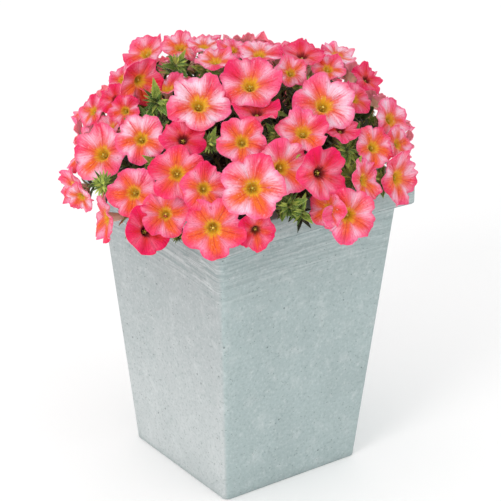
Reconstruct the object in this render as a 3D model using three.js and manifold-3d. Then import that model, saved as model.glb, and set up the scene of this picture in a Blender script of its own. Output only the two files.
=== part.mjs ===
// A petchoa in full bloom in a square, tapered fibre-cement planter.
// Millimetres, +Z up. The origin is the middle of the planter's underside; -Y is its front face.
import * as THREE from 'three';
import Module from 'manifold-3d';

const wasm = await Module();
wasm.setup();

// Planter
const baseSide = 170;
const shoulderSide = 223;
const lipOverhang = 13.5;
const bodyHeight = 300;
const lipHeight = 25;
const wall = 12;
const floorThickness = 12;
const cornerRadius = 7;
const arris = 1.5;
const sideBow = 5;
const drainRadius = 6;
const drainOffset = 36;
const drainSides = 6;
const cornerSteps = 2;
const bowPlaces = [0.5, 0, -0.5];

// Potting soil with a hole for each stem
const soilLevel = 297;
const holeDepth = 12;
const holeRoom = 0.9;

// Clearance between two sub-parts that touch, the volume under which they count as clear of each
// other, and how far fusing may move a surface
const fit = 0.3;
const clearVolume = 0.004;
const slack = 0.01;

// The mound of blooms: a half egg over the rim
const mound = { x: -9.5, y: -4.8, z: 328, radius: 180.8, height: 136.2 };
const plantHeart = new THREE.Vector3(-5, -3, 300);

// One stem to each part of the mound: a ring of low ones, a ring of steep ones and a middle one
const stemRings = [
  { count: 7, turn: 0.5, holeRing: 45, reach: 84, height: 345, steepest: 38 },
  { count: 3, turn: 0.25, holeRing: 22, reach: 44, height: 371, steepest: 66 },
  { count: 1, turn: 0, holeRing: 0, reach: 0, height: 383, steepest: 91 },
];
const stemRadius = 2.4;
const stemTaper = [1, 1, 0.9, 0.8];
const stemRise = 8;
const elbow = { share: 0.4, lift: 6 };
const stemPast = 0.05;
const stalkRadius = 1.3;
const stemSides = 4;
const stalkSides = 3;

// Stalks join a stem one after another, joinStep of the way from its fork down to its elbow, and bend
// by one of these distances where the plain way is blocked
const joinStep = 0.09;
const joinSkips = [0, 1, 2];
const stemChoices = 4;
const bends = [0, 7, 14, 22];
const bendWays = 8;
const straightEnough = 0.8;
const plainBend = { share: 0.25, back: 0.2 };

// A bloom: five shallow lobes round a funnel. Lengths are shares of the bloom's radius, but for the
// thickness of the petals and of the neck under them.
const lobes = 5;
const lobeSeed = 1009;
const lobeSeedStep = 31;
const petalThickness = 0.8;
const neckThickness = 1.6;
const notch = { radius: 0.86, height: -0.06 };
const lobeShoulders = [0.33, 0.67];
const lobeGrowth = [0.97, 0.08];
const lobeDroop = [-0.096, 0.16];
const throat = { radius: 0.24, height: -0.26 };
const boreDepth = 0.8;
const tubeDepth = 1.02;

// The star of sepals it sits in
const sepalTip = { radius: 0.32, height: -0.72 };
const sepalNotch = { radius: 2.2, height: 0.4 };
const calyxDepth = 6;

// A leaf: a pointed blade folded along its midrib. Its sections lie a share of its length out, with
// half a width and a sag as shares of its width and length.
const leafLength = 44;
const leafWidth = 18;
const leafThickness = 1.2;
const leafSlimness = 0.42;
const leafSections = [[0.34, 0.46, 0], [0.7, 0.36, 0.05]];
const plainSections = [[0.45, 0.5, 0]];
const leafFold = 0.3;
const leafDroop = 0.16;
const leavesPerTip = 3;
const leafStep = 3;
const leafTurn = 2.2;
const leafWays = 8;
const stalksPerLeaf = 6;
const stalkLeafPlace = { share: 0.35, lean: 0.5, tilt: 0.4 };

// Ways a leaf may lie on a leafy tip: a share of its size, its lean from the tip's way and a turn
const leafTries = [1, 0.8, 0.62].flatMap((size) => [0.6, 1.1, 1.8].flatMap(
  (lean) => [0, 0.6, -0.6].map((shift) => ({ size, lean, shift }))));

// The corner view that the front blooms are placed from: degrees, millimetres and picture units
const view = {
  turn: -35.8, rise: 24.67, roll: 0.36, away: 2409.85, aimAcross: 8.91, aimHeight: 232.93,
  focal: 2310.3, middleX: 254.38, middleY: 249.88,
};

// Blooms on the side towards that view. x and y are the bloom's middle in the picture, across is its
// width, right and up lean its face away from the viewer, and near brings it towards the viewer.
const frontBlooms = [
  { x: 144, y: 50, across: 46, right: -0.5, up: 0.8, near: 0 },
  { x: 180, y: 44, across: 40, right: -0.1, up: 1.0, near: 0 },
  { x: 204, y: 43, across: 36, right: 0.1, up: 1.9, near: -8 },
  { x: 215, y: 57, across: 42, right: -0.1, up: 1.3, near: 0 },
  { x: 233, y: 47, across: 34, right: 0.2, up: 1.2, near: -4 },
  { x: 260, y: 50, across: 44, right: 0.1, up: 1.3, near: -5 },
  { x: 250, y: 81, across: 60, right: 0, up: 0.6, near: 5 },
  { x: 200, y: 101, across: 62, right: 0.1, up: 0.5, near: 2 },
  { x: 143, y: 82, across: 48, right: 0.7, up: -0.3, near: 0 },
  { x: 119, y: 78, across: 34, right: -1.0, up: 0.6, near: -2 },
  { x: 114, y: 98, across: 32, right: -0.5, up: 0.5, near: 2 },
  { x: 90, y: 110, across: 34, right: -1.1, up: 0.5, near: 0 },
  { x: 124, y: 110, across: 32, right: -0.3, up: 0.2, near: -5 },
  { x: 99, y: 152, across: 58, right: -0.45, up: 0.3, near: 2 },
  { x: 140, y: 138, across: 48, right: -0.15, up: 0.2, near: 0 },
  { x: 183, y: 137, across: 44, right: 0, up: 0.5, near: -4 },
  { x: 177, y: 173, across: 54, right: 0, up: 0.1, near: 4 },
  { x: 205, y: 188, across: 48, right: 0.15, up: 0.1, near: -2 },
  { x: 132, y: 192, across: 50, right: -0.3, up: 0.1, near: 0 },
  { x: 165, y: 213, across: 46, right: -0.1, up: 0.15, near: -3 },
  { x: 149, y: 230, across: 48, right: 0.5, up: 0.2, near: 10 },
  { x: 213, y: 229, across: 60, right: 0, up: -0.1, near: 4 },
  { x: 253, y: 187, across: 62, right: 0.05, up: 0.1, near: 5 },
  { x: 242, y: 140, across: 48, right: 0, up: 0.3, near: 0 },
  { x: 285, y: 167, across: 56, right: 0.5, up: 0.1, near: -2 },
  { x: 303, y: 129, across: 52, right: 0, up: 0.6, near: -2 },
  { x: 325, y: 102, across: 62, right: 0.2, up: 0.5, near: 4 },
  { x: 323, y: 173, across: 52, right: 0.6, up: 0, near: 0 },
  { x: 351, y: 216, across: 54, right: 0.4, up: -0.1, near: 4 },
  { x: 326, y: 210, across: 38, right: -0.6, up: -0.2, near: -14 },
  { x: 368, y: 180, across: 44, right: 1.4, up: 0.1, near: 0 },
  { x: 376, y: 146, across: 44, right: 0.6, up: 0.3, near: 2 },
  { x: 403, y: 178, across: 56, right: 1.3, up: 0, near: 2 },
  { x: 401, y: 143, across: 38, right: 1.2, up: 0.4, near: -5 },
  { x: 394, y: 118, across: 46, right: 0.9, up: 0.4, near: 0 },
  { x: 369, y: 77, across: 36, right: 0.9, up: 0.9, near: 0 },
  { x: 339, y: 52, across: 38, right: 0.7, up: 1.4, near: 0 },
  { x: 303, y: 51, across: 46, right: 0.2, up: 1.5, near: 0 },
  { x: 329, y: 66, across: 36, right: 0.3, up: 0.9, near: -4 },
  { x: 291, y: 71, across: 34, right: 0.1, up: 0.5, near: -4 },
  { x: 257, y: 108, across: 46, right: 0, up: 1.5, near: -5 },
  { x: 342, y: 127, across: 36, right: 0.4, up: 0.9, near: -1 },
  { x: 357, y: 97, across: 36, right: 0.9, up: 0.6, near: -5 },
  { x: 256, y: 232, across: 38, right: 0.1, up: -0.4, near: -4 },
  { x: 69, y: 188, across: 42, right: -1.7, up: -0.2, near: -2 },
  { x: 79, y: 199, across: 32, right: -0.8, up: -0.9, near: 4 },
  { x: 101, y: 218, across: 50, right: -2.6, up: -0.2, near: 0 },
  { x: 106, y: 126, across: 44, right: -1.4, up: 1.1, near: -20 },
  { x: 166, y: 84, across: 46, right: -0.4, up: 1.8, near: -26 },
];

// Leafy tips that show between those blooms, in the same units
const frontTips = [
  { x: 177, y: 66, length: 24 },
  { x: 206, y: 70, length: 24 },
  { x: 157, y: 102, length: 34 },
  { x: 209, y: 145, length: 24 },
  { x: 107, y: 180, length: 26 },
  { x: 347, y: 152, length: 32 },
  { x: 352, y: 178, length: 32 },
  { x: 288, y: 207, length: 30 },
  { x: 302, y: 213, length: 26 },
  { x: 276, y: 136, length: 24 },
  { x: 178, y: 236, length: 16 },
  { x: 158, y: 166, length: 26 },
  { x: 383, y: 182, length: 30 },
  { x: 305, y: 88, length: 24 },
];

// The rest of the mound, grown by a rule
const growthSeed = 20438;
const growthTries = 900;
const goldenTurn = 2.39996;
const backSpacing = 38;
const backAcross = [42, 56];
const backShrink = 7;
const backLowest = -0.06;
const backLean = 0.5;
const backLift = [-6, 10];
const backEdge = 0.25;
const topEdge = 0.25;
const bloomLipRoom = { beside: 18, above: 24 };
const stalkLipRoom = { beside: 6, above: 8 };
const innerTips = 18;
const tipDepth = 30;
const tipSpacing = 36;
const tipBloomSpacing = 32;
const tipSteepness = [0.04, 0.97];
const tipShare = 0.618034;
const tipTurn = 1;
const tipLengths = [0.7, 1];
const tipLean = 0.2;

// Seeded draw between 0 and 1, the same each time the plant is grown
function seededDraw(seed) {
  let state = seed;
  return () => {
    state = (state * 16807) % 2147483647;
    return state / 2147483647;
  };
}

function polar(radius, angle, z) {
  return new THREE.Vector3(radius * Math.cos(angle), radius * Math.sin(angle), z);
}

// Closed mesh from rings of points, bottom to top or top to bottom, with both ends closed.
// Neighbouring rings may hold different numbers of points; a ring of one point is a tip. A ring's
// offset is the share of a step that its first point is turned on from the start.
function ringSolid(rings) {
  const points = [];
  const starts = [];
  for (const ring of rings) {
    starts.push(points.length);
    points.push(...ring);
  }
  const faces = [];
  for (let level = 0; level + 1 < rings.length; level += 1) {
    const n = rings[level].length;
    const m = rings[level + 1].length;
    const a = starts[level];
    const b = starts[level + 1];
    const lead = (rings[level + 1].offset || 0) / m - (rings[level].offset || 0) / n;
    let i = 0;
    let j = 0;
    while (i < n || j < m) {
      const stepFirst = j >= m || (i < n && (i + 0.5) / n <= (j + 0.5) / m + lead);
      if (stepFirst) {
        if (n > 1) faces.push([a + i, a + ((i + 1) % n), b + (j % m)]);
        i += 1;
      } else {
        if (m > 1) faces.push([b + j, a + (i % n), b + ((j + 1) % m)]);
        j += 1;
      }
    }
  }
  const last = rings.length - 1;
  for (let k = 1; k + 1 < rings[0].length; k += 1) {
    faces.push([starts[0], starts[0] + k + 1, starts[0] + k]);
  }
  for (let k = 1; k + 1 < rings[last].length; k += 1) {
    faces.push([starts[last], starts[last] + k, starts[last] + k + 1]);
  }
  return solidFrom(points, faces);
}

// Manifold solid from points and faces, turned to face outwards
function solidFrom(points, faces) {
  let volume = 0;
  for (const [p, q, r] of faces) {
    volume += points[p].dot(points[q].clone().cross(points[r]));
  }
  const outward = volume < 0 ? faces.map(([p, q, r]) => [p, r, q]) : faces;
  const vertProperties = new Float32Array(points.flatMap((point) => point.toArray()));
  const triVerts = new Uint32Array(outward.flat());
  return new wasm.Manifold(new wasm.Mesh({ numProp: 3, vertProperties, triVerts }));
}

// Rings of points along a line, each turned on from the last without twisting
function sweepRings(path, radii, sides, firstSide) {
  const side = firstSide.clone();
  return path.map((point, index) => {
    const before = path[Math.max(index - 1, 0)];
    const after = path[Math.min(index + 1, path.length - 1)];
    const along = after.clone().sub(before).normalize();
    side.addScaledVector(along, -side.dot(along)).normalize();
    const other = along.clone().cross(side);
    return Array.from({ length: sides }, (_, k) => {
      const angle = (2 * Math.PI * k) / sides;
      return point.clone()
        .addScaledVector(side, radii[index] * Math.cos(angle))
        .addScaledVector(other, radii[index] * Math.sin(angle));
    });
  });
}

function stick(path, radii, sides) {
  const along = path[1].clone().sub(path[0]).normalize();
  const firstSide = Math.abs(along.z) > 0.8 ? new THREE.Vector3(1, 0, 0) : new THREE.Vector3(0, 0, 1);
  return ringSolid(sweepRings(path, radii, sides, firstSide));
}

// Square with rounded corners and sides that bow inwards
function squareRing(half, corner, bow, z) {
  const ring = [];
  const straight = half - corner;
  for (let quarter = 0; quarter < 4; quarter += 1) {
    const spin = (quarter * Math.PI) / 2;
    for (let step = 0; step <= cornerSteps; step += 1) {
      const angle = (step * Math.PI) / (2 * cornerSteps);
      ring.push(new THREE.Vector3(straight + corner * Math.cos(angle), straight + corner * Math.sin(angle), z)
        .applyAxisAngle(new THREE.Vector3(0, 0, 1), spin));
    }
    for (const share of bowPlaces) {
      ring.push(new THREE.Vector3(straight * share, half - bow * (1 - share * share), z)
        .applyAxisAngle(new THREE.Vector3(0, 0, 1), spin));
    }
  }
  return ring;
}

// Half the outer width of the planter's body at a height
function bodyHalf(z) {
  return THREE.MathUtils.lerp(baseSide, shoulderSide, z / bodyHeight) / 2;
}

function bowAt(z) {
  return sideBow * Math.min(z / bodyHeight, 1) ** 2;
}

function cavityRing(z, inset) {
  return squareRing(bodyHalf(z) - wall - inset, cornerRadius / 2, bowAt(z), z);
}

// Upright prism, for cutting a hole
function holeSolid(x, y, radius, sides, bottom, top) {
  return ringSolid([bottom, top].map((z) => Array.from({ length: sides },
    (_, k) => polar(radius, (2 * Math.PI * k) / sides, z).add(new THREE.Vector3(x, y, 0)))));
}

function planterSolid() {
  const top = bodyHeight + lipHeight;
  const lipHalf = shoulderSide / 2 + lipOverhang;
  const outside = ringSolid([
    squareRing(bodyHalf(0) - arris, cornerRadius, 0, 0),
    squareRing(bodyHalf(arris), cornerRadius, 0, arris),
    squareRing(bodyHalf(bodyHeight / 2), cornerRadius, bowAt(bodyHeight / 2), bodyHeight / 2),
    squareRing(bodyHalf(bodyHeight), cornerRadius, sideBow, bodyHeight),
    squareRing(lipHalf, cornerRadius, sideBow, bodyHeight),
    squareRing(lipHalf, cornerRadius, sideBow, top - arris),
    squareRing(lipHalf - arris, cornerRadius, sideBow, top),
  ]);
  const inside = ringSolid([
    cavityRing(floorThickness, 0),
    cavityRing(bodyHeight, 0),
    squareRing(bodyHalf(bodyHeight) - wall, cornerRadius / 2, sideBow, top + 1),
  ]);
  let planter = outside.subtract(inside);
  for (const x of [-drainOffset, drainOffset]) {
    for (const y of [-drainOffset, drainOffset]) {
      planter = planter.subtract(holeSolid(x, y, drainRadius, drainSides, -1, floorThickness + 1));
    }
  }
  return planter;
}

// Where each stem rises and where it parts into stalks
function stemPlan() {
  const stems = [];
  stemRings.forEach((ring, level) => {
    for (let k = 0; k < ring.count; k += 1) {
      const angle = (2 * Math.PI * (k + ring.turn)) / ring.count;
      const foot = polar(ring.holeRing, angle, soilLevel - holeDepth + fit);
      const fork = polar(ring.reach, angle, ring.height);
      fork.add(new THREE.Vector3(mound.x / 2, mound.y / 2, 0));
      stems.push({ level, k, foot, fork });
    }
  });
  return stems;
}

function soilSolid(stems) {
  let soil = ringSolid([
    cavityRing(floorThickness + fit, fit),
    cavityRing(soilLevel, fit),
  ]);
  for (const { foot } of stems) {
    const hole = holeSolid(
      foot.x, foot.y, stemRadius + holeRoom, stemSides, soilLevel - holeDepth, soilLevel + 1);
    soil = soil.subtract(hole);
  }
  return soil;
}

// The stem that serves a place in the mound
function stemFor(stems, point) {
  const out = point.clone().sub(plantHeart);
  const steepness = THREE.MathUtils.radToDeg(Math.atan2(out.z, Math.hypot(out.x, out.y)));
  const level = stemRings.findIndex((ring) => steepness < ring.steepest);
  const ring = stemRings[level];
  const turn = Math.atan2(out.y, out.x) / (2 * Math.PI);
  const k = ((Math.round(turn * ring.count - ring.turn) % ring.count) + ring.count) % ring.count;
  return stems.findIndex((stem) => stem.level === level && stem.k === k);
}

// Directions of the corner view: right and up in the picture, and back towards the viewer
function viewFrame() {
  const turn = THREE.MathUtils.degToRad(view.turn);
  const rise = THREE.MathUtils.degToRad(view.rise);
  const roll = THREE.MathUtils.degToRad(view.roll);
  const back = new THREE.Vector3(
    Math.sin(turn) * Math.cos(rise), -Math.cos(turn) * Math.cos(rise), Math.sin(rise));
  const level = new THREE.Vector3(Math.cos(turn), Math.sin(turn), 0);
  const upright = back.clone().cross(level);
  const eye = level.clone().multiplyScalar(view.aimAcross).addScaledVector(back, view.away);
  eye.z += view.aimHeight;
  return {
    eye,
    back,
    right: level.clone().multiplyScalar(Math.cos(roll)).addScaledVector(upright, Math.sin(roll)),
    up: upright.clone().multiplyScalar(Math.cos(roll)).addScaledVector(level, -Math.sin(roll)),
  };
}

// The point of the mound that shows at a place in the picture, and the way from there to the viewer
function seenPoint(frame, x, y) {
  const away = frame.right.clone().multiplyScalar((x - view.middleX) / view.focal)
    .addScaledVector(frame.up, -(y - view.middleY) / view.focal)
    .sub(frame.back)
    .normalize();
  const scale = new THREE.Vector3(1 / mound.radius, 1 / mound.radius, 1 / mound.height);
  const start = frame.eye.clone().sub(new THREE.Vector3(mound.x, mound.y, mound.z)).multiply(scale);
  const step = away.clone().multiply(scale);
  const a = step.dot(step);
  const b = start.dot(step);
  const c = start.dot(start) - 1;
  const reach = (-b - Math.sqrt(Math.max(b * b - a * c, 0))) / a;
  return { point: frame.eye.clone().addScaledVector(away, reach), toViewer: away.negate() };
}

// Point and outward direction of the mound at a steepness and a turn
function moundPoint(steep, turn, shrink) {
  const radius = mound.radius - shrink;
  const height = mound.height - shrink;
  const flat = polar(Math.cos(steep), turn, Math.sin(steep));
  const point = new THREE.Vector3(
    mound.x + radius * flat.x, mound.y + radius * flat.y, mound.z + height * flat.z);
  const out = new THREE.Vector3(flat.x / radius, flat.y / radius, flat.z / height).normalize();
  return { point, out };
}

// How far a point of the mound has to rise to pass a margin above the lip; none where it hangs outside
function liftOverLip(point, room) {
  const out = Math.max(Math.abs(point.x), Math.abs(point.y));
  if (out > shoulderSide / 2 + lipOverhang + room.beside) return 0;
  return Math.max(bodyHeight + lipHeight + room.above - point.z, 0);
}

// All blooms: middle, facing direction, radius and spin
function bloomPlan() {
  const frame = viewFrame();
  const draw = seededDraw(growthSeed);
  const blooms = frontBlooms.map((seen) => {
    const { point, toViewer } = seenPoint(frame, seen.x, seen.y);
    const face = toViewer.clone()
      .addScaledVector(frame.right, seen.right)
      .addScaledVector(frame.up, seen.up)
      .normalize();
    const middle = point.addScaledVector(toViewer, seen.near);
    return { middle, face, radius: seen.across / 2, spin: draw() * 2 * Math.PI };
  });
  for (let k = 0; k < growthTries; k += 1) {
    const steep = Math.asin(THREE.MathUtils.lerp(backLowest, 1, (k + 0.5) / growthTries));
    const { point, out } = moundPoint(steep, k * goldenTurn, backShrink);
    point.z += liftOverLip(point, bloomLipRoom);
    const seen = out.dot(frame.back) > backEdge + topEdge * out.z;
    const crowded = blooms.some((bloom) => bloom.middle.distanceTo(point) < backSpacing);
    if (seen || crowded) continue;
    const lean = new THREE.Vector3(draw() - 0.5, draw() - 0.5, draw() - 0.5);
    const face = out.clone().addScaledVector(lean, backLean).normalize();
    const middle = point.addScaledVector(face, backLift[0] + backLift[1] * draw());
    const across = THREE.MathUtils.lerp(backAcross[0], backAcross[1], draw());
    const bloom = { middle, face, radius: across / 2, spin: draw() * 2 * Math.PI };
    middle.z += liftOverLip(stalkStart(bloom), stalkLipRoom);
    blooms.push(bloom);
  }
  return blooms;
}

// Two directions square to a facing direction
function faceFrame(face) {
  const side = new THREE.Vector3(-face.y, face.x, 0);
  if (side.length() < 0.05) side.set(1, 0, 0);
  side.normalize();
  return { side, other: face.clone().cross(side) };
}

// A point of a bloom: a radius and a turn round its axis, and a height along the way it faces
function bloomPoint(bloom, radius, angle, height) {
  const { side, other } = faceFrame(bloom.face);
  return bloom.middle.clone()
    .addScaledVector(side, radius * Math.cos(angle))
    .addScaledVector(other, radius * Math.sin(angle))
    .addScaledVector(bloom.face, height);
}

// Ring of five points, each halfway across a lobe
function lobeRing(bloom, radius, height) {
  const ring = Array.from({ length: lobes }, (_, k) => {
    const angle = bloom.spin + (2 * Math.PI * (k + 0.5)) / lobes;
    return bloomPoint(bloom, radius, angle, height);
  });
  ring.offset = 0.5;
  return ring;
}

// Funnel with five lobes, each grown and drooping a little differently
function bloomSolid(bloom, index) {
  const draw = seededDraw(lobeSeed + lobeSeedStep * index);
  const r = bloom.radius;
  const upper = [];
  const lower = [];
  for (let lobe = 0; lobe < lobes; lobe += 1) {
    const droop = r * (lobeDroop[0] + lobeDroop[1] * draw());
    const grown = r * (lobeGrowth[0] + lobeGrowth[1] * draw());
    const outline = [[0, notch.radius * r, notch.height * r]];
    outline.push(...lobeShoulders.map((share) => [share, grown, droop]));
    for (const [share, radius, height] of outline) {
      const angle = bloom.spin + (2 * Math.PI * (lobe + share)) / lobes;
      upper.push(bloomPoint(bloom, radius, angle, height));
      lower.push(bloomPoint(bloom, radius, angle, height - petalThickness));
    }
  }
  return ringSolid([
    [bloomPoint(bloom, 0, 0, -boreDepth * r)],
    lobeRing(bloom, throat.radius * r, throat.height * r),
    upper,
    lower,
    lobeRing(bloom, throat.radius * r + petalThickness, throat.height * r - neckThickness),
    [bloomPoint(bloom, 0, 0, -tubeDepth * r)],
  ]);
}

// The one body of a fused solid: a hollow that fusing sealed is filled and loose scraps are dropped
function oneBody(solid) {
  const pieces = solid.simplify(slack).decompose().filter((piece) => piece.volume() > 0);
  pieces.sort((a, b) => b.volume() - a.volume());
  return pieces[0];
}

function crosses(a, b) {
  const boxA = a.boundingBox();
  const boxB = b.boundingBox();
  for (let axis = 0; axis < 3; axis += 1) {
    if (boxA.min[axis] > boxB.max[axis] || boxB.min[axis] > boxA.max[axis]) return false;
  }
  return a.intersect(b).volume() > clearVolume;
}

// Fuses blooms whose petals cross into one solid for each bunch that holds together
function bunchSolids(solids) {
  const owner = solids.map((_, index) => index);
  const root = (k) => (owner[k] === k ? k : root(owner[k]));
  for (let a = 0; a < solids.length; a += 1) {
    for (let b = a + 1; b < solids.length; b += 1) {
      if (crosses(solids[a], solids[b])) owner[root(b)] = root(a);
    }
  }
  const bunches = new Map();
  solids.forEach((solid, index) => {
    const key = root(index);
    if (!bunches.has(key)) bunches.set(key, []);
    bunches.get(key).push(index);
  });
  return [...bunches.values()].map(
    (members) => oneBody(members.map((index) => solids[index]).reduce((all, solid) => all.add(solid))));
}

// Star of sepals under a bloom, with the stalk that carries it
function stalkSolid(bloom, path) {
  const r = bloom.radius;
  const seat = -tubeDepth * r - fit;
  const star = [];
  for (let k = 0; k < lobes; k += 1) {
    const angle = bloom.spin + (2 * Math.PI * k) / lobes;
    star.push(bloomPoint(bloom, sepalTip.radius * r, angle, sepalTip.height * r));
    star.push(bloomPoint(bloom, sepalNotch.radius, angle + Math.PI / lobes, seat + sepalNotch.height));
  }
  const firstSide = around(bloom.face, bloom.spin);
  const stalk = sweepRings(path, path.map(() => stalkRadius), stalkSides, firstSide);
  // The stalk runs down while the star turns about the way up, so its rings are turned the other way
  const matched = stalk.map(([first, ...others]) => [first, ...others.reverse()]);
  return ringSolid([[bloomPoint(bloom, 0, 0, seat)], star, ...matched]);
}

// Where the stalk leaves a bloom's sepals
function stalkStart(bloom) {
  return bloom.middle.clone().addScaledVector(bloom.face, -tubeDepth * bloom.radius - calyxDepth);
}

// Ways a stalk may run from its end down to its stem, the plainest first
function stalkPaths(start, away, end) {
  const along = end.clone().sub(start);
  const length = along.length();
  const plain = start.clone().lerp(end, plainBend.share)
    .addScaledVector(away, -plainBend.back * length);
  along.normalize();
  const paths = along.dot(away) < -straightEnough ? [[start, end]] : [];
  for (const bend of bends) {
    const ways = bend === 0 ? 1 : bendWays;
    for (let k = 0; k < ways; k += 1) {
      const middle = plain.clone().addScaledVector(around(along, (2 * Math.PI * k) / ways), bend);
      paths.push([start, middle, end]);
    }
  }
  return paths;
}

// Pointed blade folded along its midrib, from its root out along a direction
function leafSolid(rootPoint, along, up, length, width, sections) {
  const side = along.clone().cross(up).normalize();
  const lift = side.clone().cross(along).normalize();
  const place = (out, across, raise) => rootPoint.clone()
    .addScaledVector(along, out)
    .addScaledVector(side, across)
    .addScaledVector(lift, raise);
  const rings = sections.map(([share, halfShare, sagShare]) => {
    const out = share * length;
    const half = halfShare * width;
    const sag = sagShare * length;
    return [
      place(out, -half, leafFold * half - sag),
      place(out, 0, -sag),
      place(out, half, leafFold * half - sag),
      place(out, 0, -sag - leafThickness),
    ];
  });
  return ringSolid([[rootPoint.clone()], ...rings, [place(length, 0, -leafDroop * length)]]);
}

// The stem of a shoot, from its hole in the soil to the fork where the last stalks part
function stemStart(stem) {
  const rise = new THREE.Vector3(stem.foot.x, stem.foot.y, soilLevel + stemRise);
  const bend = rise.clone().lerp(stem.fork, elbow.share);
  bend.z += elbow.lift;
  const past = stem.fork.clone().lerp(bend, -stemPast);
  const radii = stemTaper.map((share) => share * stemRadius);
  const body = stick([stem.foot, rise, bend, past], radii, stemSides);
  return { stem, bend, body, parts: [body], joins: 0 };
}

// True where a new piece crosses nothing but the piece that holds it
function isClear(plant, solid, holder) {
  if (plant.fixed.some((other) => crosses(solid, other))) return false;
  return plant.shoots.every(
    (shoot) => shoot.parts.every((part) => part === holder || !crosses(solid, part)));
}

// Carries one end to a stem: the nearest stem and the plainest bend that stay clear of all else
function carry(plant, start, away, makeSolid) {
  const own = plant.shoots[stemFor(plant.stems, start)];
  const near = [...plant.shoots].sort(
    (a, b) => start.distanceTo(a.stem.fork) - start.distanceTo(b.stem.fork));
  for (const shoot of [own, ...near.slice(0, stemChoices)]) {
    for (const skip of joinSkips) {
      const share = joinStep * (shoot.joins + skip);
      if (share > 1) continue;
      const end = shoot.stem.fork.clone().lerp(shoot.bend, share);
      for (const path of stalkPaths(start, away, end)) {
        const solid = makeSolid(path);
        if (!isClear(plant, solid, shoot.body)) continue;
        shoot.parts.push(solid);
        shoot.joins += skip + 1;
        return { shoot, path, solid };
      }
    }
  }
  return null;
}

function addLeaf(plant, carried, leaf) {
  if (!isClear(plant, leaf, carried.solid) || !crosses(leaf, carried.solid)) return false;
  carried.shoot.parts.push(leaf);
  return true;
}

// Direction square to a line, turned round it
function around(line, angle) {
  const { side, other } = faceFrame(line);
  return side.multiplyScalar(Math.cos(angle)).addScaledVector(other, Math.sin(angle));
}

// Leaves set round the end of a leafy tip
function tipLeaves(plant, tip, carried) {
  const [, next] = carried.path;
  for (let k = 0; k < leavesPerTip; k += 1) {
    const root = tip.point.clone().lerp(next, (1 + leafStep * k) / tip.point.distanceTo(next));
    leafTries.some(({ size, lean, shift }) => {
      const away = around(tip.out, tip.turn + leafTurn * k + shift);
      const along = tip.out.clone().addScaledVector(away, lean).normalize();
      const up = tip.out.clone().addScaledVector(away, -1 / lean);
      const length = size * tip.length;
      const leaf = leafSolid(root, along, up, length, leafSlimness * length, leafSections);
      return addLeaf(plant, carried, leaf);
    });
  }
}

// One plain leaf on the stalk of a bloom
function stalkLeaf(plant, bloom, carried) {
  const [start, next] = carried.path;
  const root = start.clone().lerp(next, stalkLeafPlace.share);
  const line = next.clone().sub(start).normalize();
  for (let k = 0; k < leafWays; k += 1) {
    const away = around(line, bloom.spin + leafTurn * k);
    const along = away.clone().addScaledVector(line, -stalkLeafPlace.lean).normalize();
    const up = line.clone().negate().addScaledVector(away, -stalkLeafPlace.tilt);
    const leaf = leafSolid(root, along, up, leafLength, leafWidth, plainSections);
    if (addLeaf(plant, carried, leaf)) return;
  }
}

// Grows the green: stems, the stalk under each bloom, leafy tips and a leaf on some of the stalks
function growShoots(stems, blooms, bloomSolids, planter) {
  const plant = { stems, fixed: [planter, ...bloomSolids], shoots: stems.map(stemStart) };
  const stalks = blooms.map((bloom, index) => {
    const carried = carry(plant, stalkStart(bloom), bloom.face, (path) => stalkSolid(bloom, path));
    if (!carried) throw new Error(`bloom ${index} has no clear way to a stem`);
    return carried;
  });
  for (const tip of tipPlan(blooms)) {
    const carried = carry(plant, tip.point, tip.out,
      (path) => stick(path, path.map(() => stalkRadius), stalkSides));
    if (carried) tipLeaves(plant, tip, carried);
  }
  stalks.forEach((carried, index) => {
    if (index % stalksPerLeaf === 0) stalkLeaf(plant, blooms[index], carried);
  });
  return plant.shoots.map((shoot) => oneBody(shoot.parts.reduce((all, part) => all.add(part))));
}

// Leafy tips: those seen from the corner view, then others wherever the blooms leave room
function tipPlan(blooms) {
  const frame = viewFrame();
  const draw = seededDraw(growthSeed + 5);
  const tips = frontTips.map((seen) => {
    const { point, toViewer } = seenPoint(frame, seen.x, seen.y);
    const out = toViewer.clone().addScaledVector(new THREE.Vector3(0, 0, 1), tipLean).normalize();
    point.addScaledVector(toViewer, -tipDepth);
    return { point, out, length: seen.length, turn: 2 * Math.PI * draw() };
  });
  for (let k = 0; k < growthTries && tips.length < frontTips.length + innerTips; k += 1) {
    const steep = Math.asin(THREE.MathUtils.lerp(tipSteepness[0], tipSteepness[1], (k * tipShare) % 1));
    const { point, out } = moundPoint(steep, k * goldenTurn + tipTurn, backShrink + tipDepth);
    const crowded = blooms.some((bloom) => bloom.middle.distanceTo(point) < tipBloomSpacing)
      || tips.some((tip) => tip.point.distanceTo(point) < tipSpacing);
    if (crowded) continue;
    const length = leafLength * THREE.MathUtils.lerp(tipLengths[0], tipLengths[1], draw());
    tips.push({ point, out, length, turn: 2 * Math.PI * draw() });
  }
  return tips;
}

function subPart(name, solid, look) {
  const { vertProperties, triVerts } = solid.getMesh();
  const geometry = new THREE.BufferGeometry();
  geometry.setAttribute('position', new THREE.BufferAttribute(new Float32Array(vertProperties), 3));
  geometry.setIndex(new THREE.BufferAttribute(new Uint32Array(triVerts), 1));
  geometry.computeVertexNormals();
  const mesh = new THREE.Mesh(geometry, new THREE.MeshStandardMaterial(look));
  mesh.name = name;
  return mesh;
}

const looks = {
  planter: { color: 0xb4c2c1, roughness: 0.85, metalness: 0 },
  soil: { color: 0x3a2a1e, roughness: 1, metalness: 0 },
  green: { color: 0x6a9a3c, roughness: 0.6, metalness: 0 },
  petal: { color: 0xff6a80, roughness: 0.55, metalness: 0 },
};

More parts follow.
